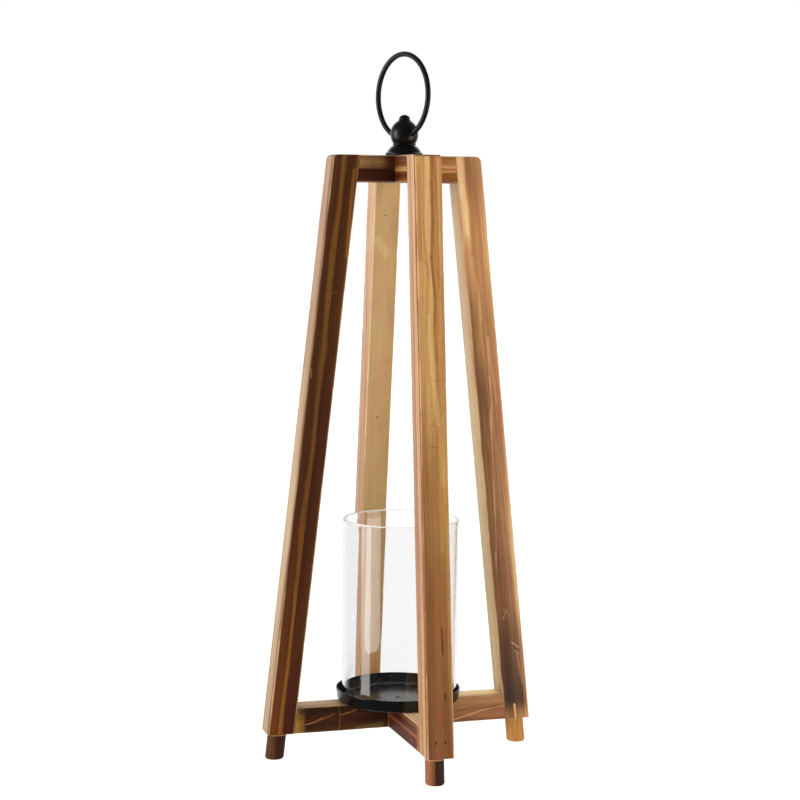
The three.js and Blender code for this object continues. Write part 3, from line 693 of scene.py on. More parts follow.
def foot_wood(side, left, middle, right, rim):
    """A turned foot, glued up from two tones across the direction from left to right."""
    material, g, shader = new_material(f"wood_foot_{side}")
    low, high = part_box(f"foot_{side}")
    centre = (low + high) / 2
    coordinates = g.node("ShaderNodeTexCoord")
    position = g.scale(g.vector("SUBTRACT", coordinates.outputs["Object"], centre), 1 / MM)
    grain = g.group(GRAIN, Place=g.vector("ADD", position, (11.0 * len(side), 0.0, 300.0 * len(side))))
    across = g.dot(position, (0.95, -0.31, 0.0))
    warp = g.span(grain.outputs["Figure"], 0, 1, -2.0, 2.0, smooth=False)
    place = g.span(g.plus(across, warp), -11, 11, smooth=False)
    shade = g.ramp(place, [(0.0, left), (0.44, middle), (0.56, right), (1.0, right)])
    height = g.node("ShaderNodeSeparateXYZ", {0: coordinates.outputs["Object"]}).outputs["Z"]
    shoulder = LEG_LOW.z
    fresh = g.span(height, shoulder - 3.2 * MM, shoulder - 2.2 * MM)
    shade = g.mix(g.times(fresh, 0.85), shade, colour(rim))
    shade = add_grain(g, shade, grain)
    pores = g.times(grain.outputs["Pores"], 0.35)
    shade = g.mix(pores, shade, colour("#2c180c"))
    normal = g.node("ShaderNodeSeparateXYZ", {0: coordinates.outputs["Normal"]})
    upward = g.math("ABSOLUTE", normal.outputs["Z"])
    rings = g.math("SINE", g.times(g.vector("DISTANCE", position, FOOT_PITH), RING_RATE_FOOT))
    end_shade = g.mix(g.span(rings, -1, 1, 0.15, 0.6), shade, colour("#2e1a0e"))
    shade = g.mix(g.span(upward, 0.75, 0.95), shade, end_shade)
    rough = g.span(grain.outputs["Fibre"], 0, 1, 0.45, 0.62)
    height = g.minus(grain.outputs["Fibre"], g.times(grain.outputs["Pores"], 1.4))
    return oiled(material, g, shader, shade, rough, height)


# ---------------------------------------------------------------- metal and glass

def enamel(name, tone, light_tone, roughness, texture, relief, spread=0.06):
    """Satin black paint on metal, with its fine orange peel, dust and rubbed places."""
    material, g, shader = new_material(name)
    place = g.place()
    cloud = g.span(g.noise(place, 0.05, 3.0, 0.6), 0.3, 0.7)
    speck = g.span(g.noise(place, 1.8, 2.0, 0.5), 0.66, 0.74)
    shade = g.mix(cloud, colour(tone), colour(light_tone))
    shade = g.mix(g.times(speck, 0.25), shade, colour("#4a4844"))
    rubbed = g.span(g.noise(place, 0.16, 4.0, 0.6, 0.5), 0.35, 0.7, roughness - spread, roughness + spread)
    dusty = g.plus(rubbed, g.times(speck, 0.15))
    peel = g.noise(place, texture, 3.0, 0.55)
    lumps = g.noise(place, texture * 0.22, 2.0, 0.5)
    bumps = g.bump(g.plus(g.times(peel, 0.4), lumps), relief, 0.3 * MM)
    g.fill(shader, {"Base Color": shade, "Roughness": dusty, "Specular IOR Level": 0.5, "Normal": bumps})
    return material


def steel(name):
    """Dull steel with brown staining from the timber."""
    material, g, shader = new_material(name)
    place = g.place()
    stain = g.span(g.noise(place, 0.9, 4.0, 0.6), 0.35, 0.62)
    shade = g.mix(stain, colour("#6e665c"), colour("#2e1a10"))
    metallic = g.span(stain, 0, 1, 0.9, 0.25)
    rough = g.span(stain, 0, 1, 0.38, 0.7)
    bumps = g.bump(g.noise(place, 2.4, 4.0), 0.4, 0.2 * MM)
    g.fill(shader, {"Base Color": shade, "Metallic": metallic, "Roughness": rough, "Normal": bumps})
    return material


def clear_glass():
    """Clear glass with faint smears. Its upper end is ground dull, and its lower end faintly so."""
    material, g, shader = new_material("clear_glass")
    place = g.place()
    smear = g.span(g.noise(g.vector("MULTIPLY", place, (1.0, 1.0, 0.35)), 0.05, 4.0, 0.6), 0.5, 0.8)
    shade = g.mix(smear, (1, 1, 1, 1), (0.985, 0.99, 0.988, 1))
    rough = g.span(smear, 0, 1, 0.0, 0.03)
    low, high = (end.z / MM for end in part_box("glass_cylinder"))
    height = g.node("ShaderNodeSeparateXYZ", {0: place}).outputs["Z"]
    ground_foot = g.span(height, low + 1.6, low + 0.9, 0, 0.08)
    ground = g.math("MAXIMUM", ground_foot, g.span(height, high - 1.6, high - 0.9))
    clear = g.span(ground, 0, 1, 1.0, 0.3, smooth=False)
    ripple = g.noise(g.vector("MULTIPLY", place, (1.0, 1.0, 0.2)), 0.06, 2.0, 0.4)
    bumps = g.bump(ripple, 0.1, 0.4 * MM)
    g.fill(shader, {"Base Color": shade, "Roughness": rough, "Normal": bumps})
    g.fill(shader, {"IOR": 1.5, "Transmission Weight": clear})
    return material


# ---------------------------------------------------------------- timber

def bar(name, stations, bounds_at, place, glue, seed):
    """A stave. bounds_at(w) gives (low u, high u, low v, high v, end inset) and place(u, v, w) a point.
    glue is the side of v that is glued, +1 or -1, and keeps its corners sharp and its face flat."""
    chance = random.Random(seed)
    steps = 8
    points = []
    nicks = [(chance.choice((-1, 1)), chance.uniform(stations[0], stations[-1]), chance.uniform(1.5, 4) * MM,
              chance.uniform(0.15, 0.5) * MM) for _ in range(int(len(stations) / 14))]
    offset = Vector((seed * 3.7, seed * 1.3, 0))
    for w in stations:
        u0, u1, v0, v1, inset = bounds_at(w)
        eased = EDGE * (1 + 0.35 * noise.noise(offset + Vector((0, 0, w / 0.05))))
        low_edge = GLUE_EDGE if glue < 0 else eased
        high_edge = GLUE_EDGE if glue > 0 else eased
        corners = [
            (u0 + inset, v0 + inset, low_edge), (u1 - inset, v0 + inset, low_edge),
            (u1 - inset, v1 - inset, high_edge), (u0 + inset, v1 - inset, high_edge),
        ]
        ring = []
        outline = rounded(corners, closed=True, steps=5)
        for k, here in enumerate(outline):
            after = outline[(k + 1) % len(outline)]
            ring.append(here)
            if (after - here).length > 4 * MM:
                ring += [here.lerp(after, j / steps) for j in range(1, steps)]
        middle = Vector(((u0 + u1) / 2, (v0 + v1) / 2))
        for here in ring:
            glued = abs(here.y - (v1 if glue > 0 else v0)) < 1.5 * MM
            rough = 0.5 + 0.5 * noise.noise(offset + Vector((here.x / 0.012, here.y / 0.012, w / 0.03)))
            depth = 0 if glued else WAVE * rough
            if not glued and abs(here.x) > HALF - 2 * MM:
                for way, at, size, deep in nicks:
                    if way * here.x > 0:
                        depth += deep * math.exp(-((w - at) / size) ** 2) * (abs(here.y) > HALF - 2.5 * MM)
            inward = (middle - here).normalized()
            moved = here + inward * depth
            points.append(place(moved.x, moved.y, w))
    count = len(points) // len(stations)
    faces = []
    for row in range(len(stations) - 1):
        for k in range(count):
            n = (k + 1) % count
            a, b = row * count, (row + 1) * count
            faces.append((a + k, a + n, b + n, b + k))
    faces.append(tuple(reversed(range(count))))
    faces.append(tuple(range((len(stations) - 1) * count, len(stations) * count)))
    return add_mesh(name, points, faces)


def spread_stations(low, high, ends=True):
    """Places along a bar: evenly spaced, and closer together where its ends are eased."""
    count = max(2, round((high - low) / STATION))
    ease = [0, 0.3, 0.6, 1] if ends else [0]
    start = [low + END_EDGE * e for e in ease]
    finish = [high - END_EDGE * e for e in reversed(ease)]
    between = [low + (high - low) * i / count for i in range(1, count)]
    return start + between + finish


def eased_end(w, low, high):
    """How far a section is drawn in at w to ease the bar's ends."""
    near = min(w - low, high - w)
    if near >= END_EDGE:
        return 0
    share = 1 - near / END_EDGE
    return END_EDGE * (1 - math.sqrt(max(0, 1 - share * share)))


def leg_stave(side, level, cutters, material):
    """level is outer or inner. The outer stave's top is rounded off outwards."""
    outward = ARMS[side]
    across = UP.cross(outward)
    low, high = LEG_LOW.z, LEG_HIGH.z
    outer = level == "outer"
    stations = spread_stations(low, high)
    if outer:
        stations = [w for w in stations if w < high - LEG_TOP_ROUND]
        turns = [math.radians(a) for a in range(0, 91, 9)]
        stations += [high - LEG_TOP_ROUND * (1 - math.sin(a)) for a in turns]

    def bounds_at(w):
        drop = 0
        inset = eased_end(w, low, high)
        if outer and w > high - LEG_TOP_ROUND:
            rise = w - (high - LEG_TOP_ROUND)
            drop = LEG_TOP_ROUND - math.sqrt(max(0, LEG_TOP_ROUND ** 2 - rise ** 2))
        if outer:
            return -HALF, HALF, GLUE_LINE / 2 - inset, LEG_HALF - drop, inset
        return -HALF, HALF, -LEG_HALF, -GLUE_LINE / 2 + inset, inset

    def place(u, v, w):
        return outward * (SPREAD + v - LEAN * (w - low)) + across * u + UP * w

    node = f"leg_{side}_{level}"
    seed = sum(map(ord, node))
    stave = bar(f"shaped_{node}", stations, bounds_at, place, -1 if outer else 1, seed)
    carve(stave, cutters)
    return stand_for(stave, node, "frame", material)


def rail_stave(node, arm, cutters, material):
    """A stave that runs along one arm, or through the crossing if its node does."""
    along = ARMS[arm]
    across = along.cross(UP)
    low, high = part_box(node)
    upper = node.endswith("upper")
    reach = high.dot(along) if along.dot(Vector((1, 1, 0))) > 0 else low.dot(along)
    near = low.dot(along) if along.dot(Vector((1, 1, 0))) > 0 else high.dot(along)
    through = near < 0
    reach += 2 * GLUE_LINE
    near = -reach if through else near - 2 * GLUE_LINE
    closer = GLUE_LINE / 2 - JOINT / 2
    floor = low.z + (closer if upper else 0)
    top = high.z - (0 if upper else closer)
    stations = spread_stations(near, reach, ends=False)
    if stations[-1] < reach:
        stations.append(reach)

    def bounds_at(w):
        return -HALF, HALF, floor, top, 0

    def place(u, v, w):
        share = w / reach if through else (w - near) / (reach - near)
        return along * (w - LEAN * (v - low.z) * share) + across * u + UP * v

    seed = sum(map(ord, node))
    stave = bar(f"shaped_{node}", stations, bounds_at, place, -1 if upper else 1, seed)
    if cutters:
        carve(stave, cutters)
    return stand_for(stave, node, "frame", material)


def nail_line(node, side):
    """Where a nail lies: its outer end on its own line, how points are placed on it, and its measures."""
    outward = ARMS[side]
    across = UP.cross(outward)
    low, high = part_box(node)
    centre = (low + high) / 2
    size = high - low
    radius = abs(size.dot(across)) / 2
    length = abs(size.dot(outward)) - 2 * LEAN * radius
    start = centre + outward * (length / 2)

    def place(p):
        return across * p.x + UP * p.y - outward * (p.z + LEAN * p.y)

    return start, place, radius, length


def nail_cutter(node, side):
    start, place, radius, length = nail_line(node, side)
    head = radius + NAIL_CLEARANCE
    shank = 0.64 * radius + NAIL_CLEARANCE
    throat = 0.9 * radius + NAIL_CLEARANCE
    deep = length + NAIL_CLEARANCE
    top = -2 * MM
    profile = [(0, top), (head, top), (head, throat), (shank, throat + 0.4 * MM), (shank, deep), (0, deep)]
    return lathe(f"cutter_{node}", profile, start, 20, place=place)


def add_nail(node, side, material):
    start, place, radius, length = nail_line(node, side)
    shank = 0.64 * radius
    head = 0.85 * radius
    corners = [
        (0, 0.12 * MM), (0.45 * radius, 0.1 * MM, 0.2 * MM), (0.62 * radius, 0, 0.1 * MM),
        (radius, 0, 0.25 * MM), (radius, 0.35 * head, 0.2 * MM), (shank, head, 0.15 * MM),
        (shank, length - 3 * MM, MM), (0, length),
    ]
    profile = rounded(corners, steps=4)
    nail = lathe(f"shaped_{node}", profile, start, 24, place=place)
    return stand_for(nail, node, "frame", material)


def foot_axis(side, z):
    """Where a foot's leaning axis is at height z."""
    aside = ARMS["right"] * FRONT_FOOT_ASIDE if side == "front" else Vector((0, 0, 0))
    return ARMS[side] * (SPREAD + FOOT_OUTSET - LEAN * (z - LEG_LOW.z)) + aside


def vertical_cutter(radius, low, high, side=None):
    """Round cutter about the lantern's axis, or about a foot's."""
    profile = [(0, low), (radius, low), (radius, high), (0, high)]

    def place(p):
        return p + foot_axis(side, p.z) if side else p

    return lathe("cutter_round", profile, Vector((0, 0, 0)), 32, place=place)


def washer_pocket(shank, underside, high):
    """Cutter for the finial screw's hole and the pocket for its head and washer."""
    low = underside - MM
    ceiling = underside + WASHER_POCKET_DEPTH
    wide = WASHER_POCKET_RADIUS
    profile = [(0, low), (wide, low), (wide, ceiling), (shank, ceiling), (shank, high), (0, high)]
    return lathe("cutter_pocket", profile, Vector((0, 0, 0)), 64)


def add_foot(side, material):
    node = f"foot_{side}"
    outward = ARMS[side]
    low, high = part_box(node)
    radius = abs((high - low).dot(UP.cross(outward))) / 2
    shoulder = LEG_LOW.z - GLUE_LINE
    chance = random.Random(len(side))
    turning = [(radius - chance.uniform(0, 0.12) * MM, z * MM, 0.8 * MM) for z in range(5, 24, 2)]
    corners = [
        (0, low.z + 0.15 * MM), (0.6 * radius, low.z, 2 * MM), (radius - 1.1 * MM, low.z, 0.8 * MM),
        (radius, low.z + 1.6 * MM, 1.2 * MM), *turning, (radius, shoulder - 1.6 * MM, 0.8 * MM),
        (radius - 1.2 * MM, shoulder, 0.3 * MM), (TENON_RADIUS, shoulder), (TENON_RADIUS, high.z, MM),
        (0, high.z),
    ]

    def place(p):
        wander = 0.12 * MM * noise.noise(Vector((p.x / 0.006, p.y / 0.006, p.z / 0.02 + len(side))))
        flat = Vector((p.x, p.y, 0))
        pulled = flat * (1 - (0.12 * MM + wander) / radius if flat.length > 0.9 * radius else 1)
        return pulled + UP * p.z + foot_axis(side, p.z)

    foot = lathe(f"shaped_{node}", rounded(corners, steps=4), Vector((0, 0, 0)), 64, place=place, sharp=50)
    return stand_for(foot, node, "frame", material)


def add_legs():
    """The legs, each with its foot and the nails that go through it."""
    leg_woods = {
        "left": left_leg_wood(),
        "back": back_leg_wood(),
        "front": front_leg_wood(),
        "right": right_leg_wood(),
    }
    foot_woods = {
        "left": foot_wood("left", "#4a2410", "#5c3216", "#44200e", "#b88850"),
        "back": foot_wood("back", "#9c6c40", "#a87848", "#8a5a34", "#d0a070"),
        "front": foot_wood("front", "#9a6440", "#8a5630", "#3c2412", "#d8a070"),
        "right": foot_wood("right", "#b87c38", "#d09850", "#c08840", "#dcae6c"),
    }
    nail_metal = steel("nail_steel")
    for side in ARMS:
        nails = [f"nail_{level}_{side}_{i}" for level in ("top", "bottom") for i in (1, 2)]
        for level in ("outer", "inner"):
            cutters = [nail_cutter(node, side) for node in nails]
            tenon_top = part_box(f"foot_{side}")[1].z
            socket = vertical_cutter(TENON_RADIUS + GLUE_LINE, LEG_LOW.z - MM, tenon_top + GLUE_LINE, side)
            leg_stave(side, level, cutters + [socket], leg_woods[side])
        add_foot(side, foot_woods[side])
        for node in nails:
            add_nail(node, side, nail_metal)


def add_rails():
    """The two crosses of rails between the legs, near the top and near the floor."""
    rail_woods = {
        "top": (top_left_right_wood(), top_front_back_wood()),
        "bottom": (bottom_left_right_wood(), bottom_front_back_wood()),
    }
    for level, (x_wood, y_wood) in rail_woods.items():
        screw = "finial_screw" if level == "top" else "tray_screw"
        shank = (FINIAL_SCREW_RADIUS if level == "top" else TRAY_SCREW_RADIUS) + NAIL_CLEARANCE
        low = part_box(screw)[0].z - MM
        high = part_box(f"{level}_rail_left_right_upper")[1].z + MM

        def nail_holes(side):
            return [nail_cutter(f"nail_{level}_{side}_{i}", side) for i in (1, 2)]

        upper = f"{level}_rail_left_right_upper"
        lower = f"{level}_rail_front_back_lower"
        hole = vertical_cutter(shank, low, high)
        rail_stave(upper, "right", [hole, *nail_holes("left"), *nail_holes("right")], x_wood)
        if level == "top":
            hole = washer_pocket(shank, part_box(lower)[0].z, high)
        else:
            hole = vertical_cutter(shank, low, high)
        rail_stave(lower, "back", [hole], y_wood)
        for side in ("left", "right"):
            rail_stave(f"{level}_rail_{side}_lower", side, [], x_wood)
        for side in ("front", "back"):
            rail_stave(f"{level}_rail_{side}_upper", side, nail_holes(side), y_wood)


# ---------------------------------------------------------------- tray, glass, finial and ring

def turned(node, corners, material, segments, closed=False, steps=5, sharp=SHARP, cutters=()):
    """A turned piece that stands for a node of the frame. Heights are from the node's lowest level."""
    profile = rounded(corners, closed=closed, steps=steps)
    piece = lathe(f"shaped_{node}", profile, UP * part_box(node)[0].z, segments, closed=closed, sharp=sharp)
    for cutter in cutters:
        carve(piece, [cutter])
    return stand_for(piece, node, "frame", material)


def bezier(*controls, steps=8):
    """Points along a cubic curve, without its first point."""
    a, b, c, d = (Vector(p) for p in controls)
    points = []
    for i in range(1, steps + 1):
        t = i / steps
        n = 1 - t
        points.append(a * n ** 3 + b * 3 * t * n ** 2 + c * 3 * t * t * n + d * t ** 3)
    return points


def cross_recess(size, face, depth, downwards):
    """Two crossed wedges that cut a screw's drive into the level face at height face."""
    way = -1 if downwards else 1
    cutters = []
    for turn in (0, math.pi / 2):
        points = []
        for z, half, thick in ((-way * MM, size / 2, size / 9), (way * depth, size / 3.4, size / 12)):
            for x, y in ((-half, -thick), (half, -thick), (half, thick), (-half, thick)):
                c, s = math.cos(turn), math.sin(turn)
                points.append(Vector((c * x - s * y, s * x + c * y, face + z)))
        faces = [(0, 1, 2, 3), (7, 6, 5, 4), (0, 4, 5, 1), (1, 5, 6, 2), (2, 6, 7, 3), (3, 7, 4, 0)]
        cutters.append(add_mesh("cutter_recess", points, faces))
    return cutters


def add_tray():
    low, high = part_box("tray")
    rim = high.x
    base = rim - TRAY_FLARE
    height = high.z - low.z
    mouth = TRAY_SCREW_HEAD_RADIUS + NAIL_CLEARANCE
    throat = TRAY_SCREW_RADIUS + 2 * NAIL_CLEARANCE
    bead = 0.75 * MM
    corners = [
        (throat, 0), (0.97 * base, 0, 2 * MM), (base, 1.6 * MM, 2.6 * MM),
        (rim - 0.25 * MM, height - 2.6 * bead, bead), (rim, height - 1.6 * bead, bead),
        (rim, height, bead), (rim - 2 * bead, height, bead),
        (rim - 2 * bead, height - 2 * bead, 0.5 * MM), (rim - 1.35 * MM, height - 3 * bead, 0.8 * MM),
        (base - 0.9 * MM, TRAY_SHEET, 2.4 * MM), (0.5 * base, TRAY_SHEET), (mouth, TRAY_SHEET, 0.15 * MM),
        (mouth - 0.4 * MM, TRAY_SHEET / 2, 0.2 * MM),
    ]
    material = enamel("tray_enamel", "#09090a", "#0f0f0f", 0.25, 0.9, 0.02, 0.03)
    turned("tray", corners, material, 192, closed=True, steps=6)


def add_tray_screw():
    low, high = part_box("tray_screw")
    length = high.z - low.z
    head = TRAY_SCREW_HEAD_RADIUS
    corners = [
        (0, 0), (TRAY_SCREW_RADIUS, 4 * MM, MM), (TRAY_SCREW_RADIUS, length - 1.4 * MM, 0.3 * MM),
        (head, length - 0.12 * MM, 0.1 * MM), (head - 0.2 * MM, length, 0.1 * MM), (0, length),
    ]
    recess = cross_recess(3.2 * MM, high.z, 1.3 * MM, downwards=True)
    black = enamel("screw_black", "#050505", "#0c0b0b", 0.7, 1.2, 0.3)
    turned("tray_screw", corners, black, 48, steps=4, cutters=recess)


def add_glass():
    low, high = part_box("glass_cylinder")
    middle = (low + high) / 2
    lip = (high.x - low.x) / 2
    outside = lip - GLASS_FLARE
    inside = outside - GLASS_WALL
    height = high.z - low.z
    round_lip = 0.46 * GLASS_WALL
    mouth = inside + 0.5 * GLASS_FLARE
    levels = [z * MM for z in range(10, int(height / MM) - 14, 6)]
    body = [(outside, z) for z in levels]
    inner_body = [(inside, z) for z in reversed(levels)]
    corners = [
        (inside, 0, round_lip), (outside, 0, round_lip), *body, (outside, height - 9 * MM, 12 * MM),
        (lip, height - 3 * MM, 4 * MM), (lip, height, round_lip),
        (mouth, height, round_lip), (mouth, height - 3 * MM, 4 * MM),
        (inside, height - 9 * MM, 12 * MM), *inner_body,
    ]
    profile = rounded(corners, closed=True, steps=6)

    def place(p):
        """Blown glass is never quite round: its wall wanders by a few hundredths of a millimetre."""
        flat = Vector((p.x, p.y, 0))
        wander = noise.noise(Vector((p.x / 0.03, p.y / 0.03, p.z / 0.12)))
        return p - flat.normalized() * (0.05 * MM * (1 + wander))

    foot = Vector((middle.x, middle.y, low.z))
    glass = lathe("shaped_glass_cylinder", profile, foot, 192, closed=True, place=place)
    glass.visible_shadow = False
    return stand_for(glass, "glass_cylinder", "glass", clear_glass())


def ring_axis():
    """A point on the axis that the ring swings on, and the axis's direction."""
    swing = next(joint for joint in frame["joints"] if joint["name"] == "ring_swing")
    return Vector(swing["pos_m"]), Vector(swing["axis"]).normalized()


def add_finial_base(casting):
    low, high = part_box("finial_base")
    radius = high.x
    height = high.z - low.z
    bore = FINIAL_SPIGOT_RADIUS + NAIL_CLEARANCE
    dome = bezier((0.902 * radius, 3.6 * MM), (0.83 * radius, 6.2 * MM), (0.75 * radius, 9.1 * MM),
                  (0.60 * radius, height - 0.2 * MM))
    corners = [
        (bore, 0), (radius, 0, 0.4 * MM), (radius, 2.3 * MM, 0.8 * MM), (0.925 * radius, 3.1 * MM, 0.5 * MM),
        (0.902 * radius, 3.6 * MM), *dome, (0.57 * radius, height, 0.3 * MM), (bore, height),
    ]
    turned("finial_base", corners, casting, 128, closed=True, sharp=50)


def ring_hole_cutter():
    """Cutter for the ring's hole through the ball. It widens smoothly towards both mouths."""
    through, direction = ring_axis()
    beside = direction.cross(UP)
    reach = 22 * MM
    clear = RING_HOLE_RADIUS + 9 * MM
    outline = [(0, -reach), (clear, -reach)]
    for i in range(-12, 13):
        x = i / 12 * 16 * MM
        outline.append((RING_HOLE_RADIUS + 2.2 * MM * abs(i / 12) ** 9, x))
    outline += [(clear, reach), (0, reach)]

    def place(p):
        return beside * p.x + UP * p.y + direction * p.z

    return lathe("cutter_ring_hole", outline, through, 64, place=place)


def add_finial_body(casting):
    low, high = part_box("finial_body")
    belly = high.x
    height = high.z - low.z
    thread = FINIAL_SCREW_RADIUS + NAIL_CLEARANCE
    neck = 10.4 * MM
    bead = neck + 1.9 * MM
    widest = 23 * MM
    crown = 35.7 * MM
    knob = 6.1 * MM
    knob_middle = 39.4 * MM
    corners = [
        (0, 13.5 * MM), (thread, 13.5 * MM), (thread, 0, 0.4 * MM), (FINIAL_SPIGOT_RADIUS, 0, 0.4 * MM),
        (FINIAL_SPIGOT_RADIUS, neck), (12.1 * MM, neck, 0.3 * MM), (12.9 * MM, neck + 0.5 * MM, 0.6 * MM),
        (12.9 * MM, bead - 0.5 * MM, 0.6 * MM), (12.1 * MM, bead, 0.5 * MM),
    ]
    shoulder = (13.8 * MM, bead + 2.2 * MM)
    corners += bezier((12.2 * MM, bead), shoulder, (belly, 17.6 * MM), (belly, widest), steps=14)
    corners += bezier((belly, widest), (belly, 27.8 * MM), (13.7 * MM, 32 * MM), (9.3 * MM, crown), steps=14)
    corners += bezier((9.3 * MM, crown), (7.4 * MM, 37.1 * MM), (knob, 38 * MM), (knob, knob_middle))
    corners += bezier((knob, knob_middle), (5.9 * MM, 42.2 * MM), (3.2 * MM, height), (0, height), steps=10)
    turned("finial_body", corners, casting, 160, steps=4, cutters=[ring_hole_cutter()])


def add_finial_washer(metal):
    low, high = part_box("finial_washer")
    thick = high.z - low.z
    hole = FINIAL_SCREW_RADIUS + 2 * NAIL_CLEARANCE
    rim = high.x
    corners = [(hole, 0, 0.2 * MM), (rim, 0, 0.35 * MM), (rim, thick, 0.2 * MM), (hole, thick, 0.1 * MM)]
    turned("finial_washer", corners, metal, 64, closed=True)


def add_finial_screw(metal):
    low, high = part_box("finial_screw")
    length = high.z - low.z
    head = 3.2 * MM
    corners = [
        (0, 0), (0.7 * high.x, 0, MM), (high.x, 1.4 * MM, 1.2 * MM), (high.x, head, 0.2 * MM),
        (FINIAL_SCREW_RADIUS, head, 0.2 * MM), (FINIAL_SCREW_RADIUS, length - 0.8 * MM, 0.3 * MM),
        (0.65 * FINIAL_SCREW_RADIUS, length), (0, length),
    ]
    recess = cross_recess(5.2 * MM, low.z, 2 * MM, downwards=False)
    turned("finial_screw", corners, metal, 48, cutters=recess)


def add_finial():
    """The ball on its base, and the screw and washer that hold both from below."""
    casting = enamel("finial_enamel", "#070707", "#0e0d0d", 0.33, 0.7, 0.05)
    metal = steel("fastener_steel")
    add_finial_base(casting)
    add_finial_body(casting)
    add_finial_washer(metal)
    add_finial_screw(metal)


def add_ring():
    """A round bar bent to a ring and welded, standing on edge through the ball."""
    low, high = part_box("carry_ring")
    centre = (low + high) / 2
    direction = ring_axis()[1]
    facing = direction.cross(UP)
    ring_radius = (high.z - low.z) / 2 - RING_BAR_RADIUS
    turns, sides = 240, 28
    weld = -math.pi / 2
    points = []
    for i in range(turns):
        a = 2 * math.pi * i / turns
        radial = direction * math.cos(a) + UP * math.sin(a)
        gap = math.atan2(math.sin(a - weld), math.cos(a - weld)) * ring_radius
        swell = 0.18 * MM * math.exp(-(gap / (2.2 * MM)) ** 2)
        for k in range(sides):
            b = 2 * math.pi * k / sides
            wander = 0.05 * MM * noise.noise(Vector((i / 9, math.cos(b), math.sin(b))))
            bar_radius = RING_BAR_RADIUS - 0.03 * MM + swell - abs(wander)
            outwards = radial * (ring_radius + bar_radius * math.cos(b))
            points.append(centre + outwards + facing * bar_radius * math.sin(b))
    faces = []
    for i in range(turns):
        for k in range(sides):
            a, b = i * sides, (i + 1) % turns * sides
            n = (k + 1) % sides
            faces.append((a + k, b + k, b + n, a + n))
    ring = add_mesh("shaped_carry_ring", points, faces)
    return stand_for(ring, "carry_ring", "ring", enamel("ring_enamel", "#080808", "#100f0f", 0.4, 0.8, 0.07))


# ---------------------------------------------------------------- stage, light and camera

FLOOR_REACH = 30
LIGHT_DISTANCE = 2.0
LIGHT_AIM = 0.4  # height that the soft boxes are aimed at
CAMERA_PLACE = (-0.68279, -2.14196, 0.62542)
CAMERA_YAW, CAMERA_PITCH, CAMERA_ROLL = (math.radians(a) for a in (17.644, 5.738, 0.668))
CAMERA_LENS = 90.69

def add_stage():
    near, far = -FLOOR_REACH, FLOOR_REACH
    corners = [(near, near, 0), (far, near, 0), (far, far, 0), (near, far, 0)]
    floor = add_mesh("floor", corners, [(0, 1, 2, 3)])
    material, g, shader = new_material("pale_floor")
    place = g.node("ShaderNodeTexCoord").outputs["Object"]
    cloud = g.noise(place, 3.0, 3.0)
    shade = g.mix(cloud, colour("#767675"), colour("#7a7a7a"))
    g.fill(shader, {"Base Color": shade, "Roughness": 0.9, "Specular IOR Level": 0.1})
    g.fill(shader, {"Emission Color": (1, 1, 1, 1), "Emission Strength": 1.02})
    floor.data.materials.append(material)
    floor.visible_glossy = False
    floor.visible_transmission = False


def add_light(name, azimuth, elevation, width, height, power):
    """Soft box aimed at the middle of the lantern. Azimuth 0 is in front, and 90 is to its right."""
    data = bpy.data.lights.new(name, "AREA")
    data.shape = "RECTANGLE"
    data.size = width
    data.size_y = height
    data.energy = power
    light = bpy.data.objects.new(name, data)
    bpy.context.collection.objects.link(light)
    a, e = math.radians(azimuth), math.radians(elevation)
    direction = Vector((math.sin(a) * math.cos(e), -math.cos(a) * math.cos(e), math.sin(e)))
    light.location = UP * LIGHT_AIM + direction * LIGHT_DISTANCE
    light.rotation_mode = "QUATERNION"
    light.rotation_quaternion = (-direction).to_track_quat("-Z", "Y")
    return light


def add_lights():
    """Soft boxes that light the timber, and others, the sheens, that only show as reflections."""
    left_box = add_light("left_box", -90, 5, 1.3, 2.0, 27.5)
    left_box.visible_glossy = False
    left_box.visible_transmission = False
    add_light("left_sheen", -97, 1, 1.35, 1.9, 25).visible_diffuse = False
    add_light("right_sheen", 45, -14, 1.3, 0.55, 7.2).visible_diffuse = False
    add_light("right_box", 72, 12, 0.8, 1.6, 6)
    add_light("top_box", 180, 80, 1.2, 1.2, 8).visible_glossy = False


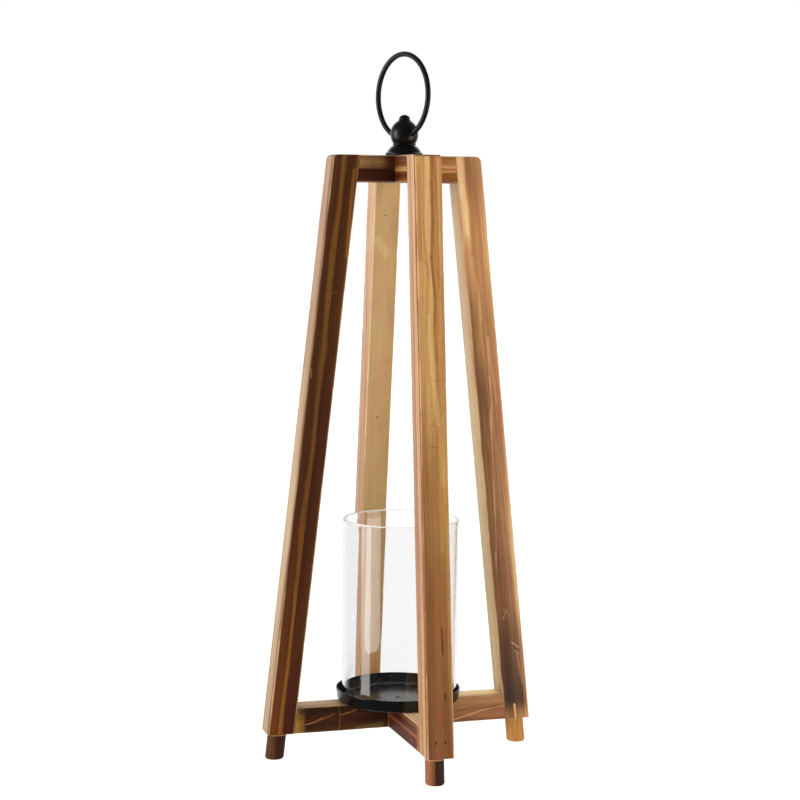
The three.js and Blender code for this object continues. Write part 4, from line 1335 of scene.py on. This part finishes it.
def add_world():
    """A white studio that is darker towards the front, where the photographer stands."""
    world = bpy.data.worlds.new("studio")
    world.use_nodes = True
    bpy.context.scene.world = world
    g = Graph(world.node_tree)
    background = world.node_tree.nodes["Background"]
    direction = g.node("ShaderNodeTexCoord").outputs["Generated"]
    towards_front = g.dot(direction, (-0.30, -0.93, -0.15))
    studio = g.span(towards_front, 0.35, 0.85, 0.88, 0.48)
    towards_back = g.dot(direction, (0.30, 0.95, 0.0))
    mirrored = g.span(towards_back, 0.45, 0.80, 0.05, 1.0)
    path = g.node("ShaderNodeLightPath")

    def pick(switch, off, on):
        return g.node("ShaderNodeMix", {0: switch, 2: off, 3: on}).outputs[0]

    through_glass = pick(g.math("GREATER_THAN", path.outputs["Glossy Depth"], 0.5), 1.07, mirrored)
    strength = pick(path.outputs["Is Glossy Ray"], studio, mirrored)
    strength = pick(path.outputs["Is Transmission Ray"], strength, through_glass)
    strength = pick(path.outputs["Is Camera Ray"], strength, 1.0)
    g.put(background.inputs["Strength"], strength)
    background.inputs["Color"].default_value = (1, 1, 1, 1)


def add_camera():
    data = bpy.data.cameras.new("camera")
    data.lens = CAMERA_LENS
    data.sensor_width = 36
    camera = bpy.data.objects.new("camera", data)
    bpy.context.collection.objects.link(camera)
    ahead = Vector((math.sin(CAMERA_YAW), math.cos(CAMERA_YAW), 0))
    forward = ahead * math.cos(CAMERA_PITCH) - UP * math.sin(CAMERA_PITCH)
    level = Vector((math.cos(CAMERA_YAW), -math.sin(CAMERA_YAW), 0))
    rise = level.cross(forward)
    right = level * math.cos(CAMERA_ROLL) + rise * math.sin(CAMERA_ROLL)
    up = rise * math.cos(CAMERA_ROLL) - level * math.sin(CAMERA_ROLL)
    turn = Matrix((right, up, -forward)).transposed()
    camera.matrix_world = Matrix.Translation(CAMERA_PLACE) @ turn.to_4x4()
    bpy.context.scene.camera = camera


add_camera()
add_legs()
add_rails()
add_tray()
add_tray_screw()
add_glass()
add_finial()
add_ring()
add_stage()
add_world()
add_lights()
scene = bpy.context.scene
scene.view_settings.view_transform = "Standard"
